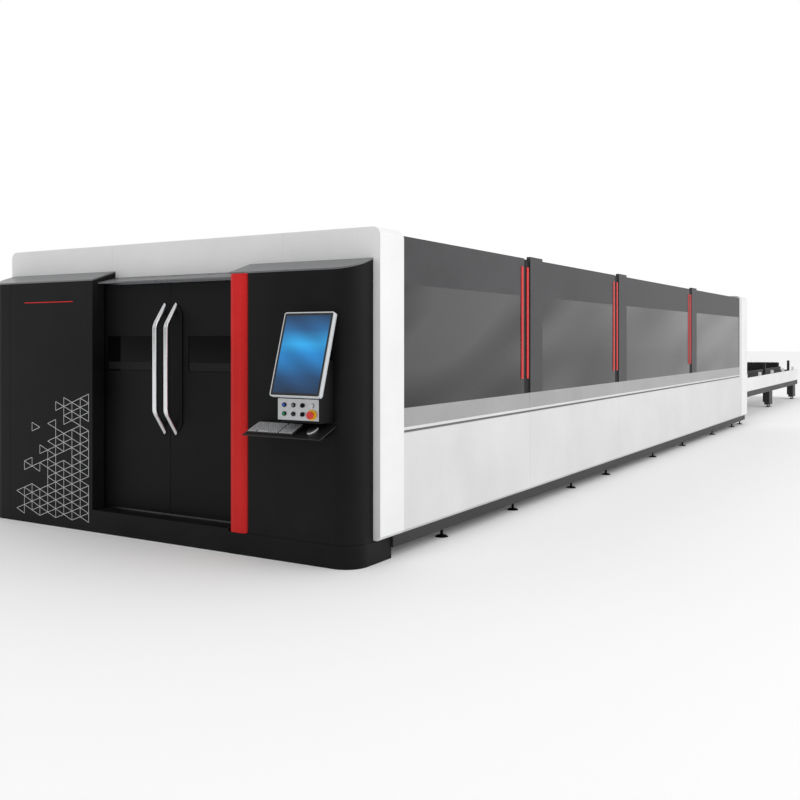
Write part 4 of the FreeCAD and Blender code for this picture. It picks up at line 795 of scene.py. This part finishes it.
# Painted shade: a grey strip in the groove stands for the groove's shadow line.
groove_shade_grey = moulded_plastic("groove_painted_shade_grey", "#5c5c5d", "#6e6e6f", 0.7)
shade_strip_back = panel_high[0] - GROOVE_DEEP + SHADE_STRIP_PLAY
shade_strip_front = shade_strip_back + SHADE_STRIP_DEEP
points, faces = boxes([[shade_strip_back, panel_low[1], groove_low], [-shade_strip_front, panel_low[1], groove_low]],
                      [[shade_strip_front, panel_high[1], groove_high], [-shade_strip_back, panel_high[1], groove_high]])
piece("groove_painted_shade_strips", points, faces, "machine", "black_plastic", groove_shade_grey, smooth=False)
print("groove from", round(groove_low, 4), "to", round(groove_high, 4))

# %% [markdown]
# The studio is a large white room: a pale floor, and a bright surround that falls off
# towards the front, so that the front faces read darker than the long side. One broad soft
# light from the operator's right adds to the side, and a weak one lights the front. Colours
# are shown as they are, without a film curve.

# %% Studio
floor_mesh = bpy.data.meshes.new("floor")
FLOOR = 120.0
floor_mesh.from_pydata([(-FLOOR, -FLOOR, 0), (FLOOR, -FLOOR, 0), (FLOOR, FLOOR, 0), (-FLOOR, FLOOR, 0)], [],
                       [(0, 1, 2, 3)])
floor = bpy.data.objects.new("floor", floor_mesh)
bpy.context.scene.collection.objects.link(floor)
floor_material, floor_tree, floor_output = start_material("pale_floor")
floor_shader = add(floor_tree, "ShaderNodeBsdfPrincipled",
                   inputs={"Base Color": linear("#fdfdfd"), "Roughness": 0.8,
                           "Emission Color": linear("#ffffff"), "Emission Strength": 0.04})
floor_tree.links.new(floor_shader.outputs["BSDF"], floor_output.inputs["Surface"])
floor_mesh.materials.append(floor_material)
floor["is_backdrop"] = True

BRIGHT = 1.0             # the surround beyond the machine
DIM = 0.42               # the surround in front of the doors
world = bpy.data.worlds.new("studio")
world.use_nodes = True
room = world.node_tree
direction = add(room, "ShaderNodeTexCoord").outputs["Generated"]
heading = add(room, "ShaderNodeSeparateXYZ", links={"Vector": direction})
level = add(room, "ShaderNodeMapRange", {"interpolation_type": "SMOOTHSTEP"},
            {"From Min": -0.95, "From Max": 0.05, "To Min": DIM, "To Max": BRIGHT},
            {"Value": heading.outputs["Y"]})
backdrop = room.nodes["Background"]
backdrop.inputs["Color"].default_value = linear("#ffffff")
room.links.new(level.outputs["Result"], backdrop.inputs["Strength"])
bpy.context.scene.world = world
bpy.context.scene.view_settings.view_transform = "Standard"


SIDE_WATTS = 390.0
FRONT_WATTS = 80.0


def soft_light(name, place, target, size, power):
    """A rectangular area light that faces a target."""
    data = bpy.data.lights.new(name, "AREA")
    data.shape = "RECTANGLE"
    data.size, data.size_y = size
    data.energy = power
    light = bpy.data.objects.new(name, data)
    away = np.array(place) - np.array(target)
    light.location = place
    light.rotation_euler = (math.acos(away[2] / np.linalg.norm(away)), 0.0,
                            math.atan2(away[1], away[0]) + math.pi / 2)
    bpy.context.scene.collection.objects.link(light)


soft_light("side_light", (14.0, FACE_Y + 5.0, 7.0), (2.0, FACE_Y + 6.0, 1.2), (16.0, 6.0), SIDE_WATTS)
soft_light("front_light", (-2.0, FACE_Y - 12.0, 7.0), (0.0, FACE_Y, 1.0), (8.0, 6.0), FRONT_WATTS)

# %% Size of what is shown
low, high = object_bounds()
print("visual size:", np.round(np.array(high) - np.array(low), 3))
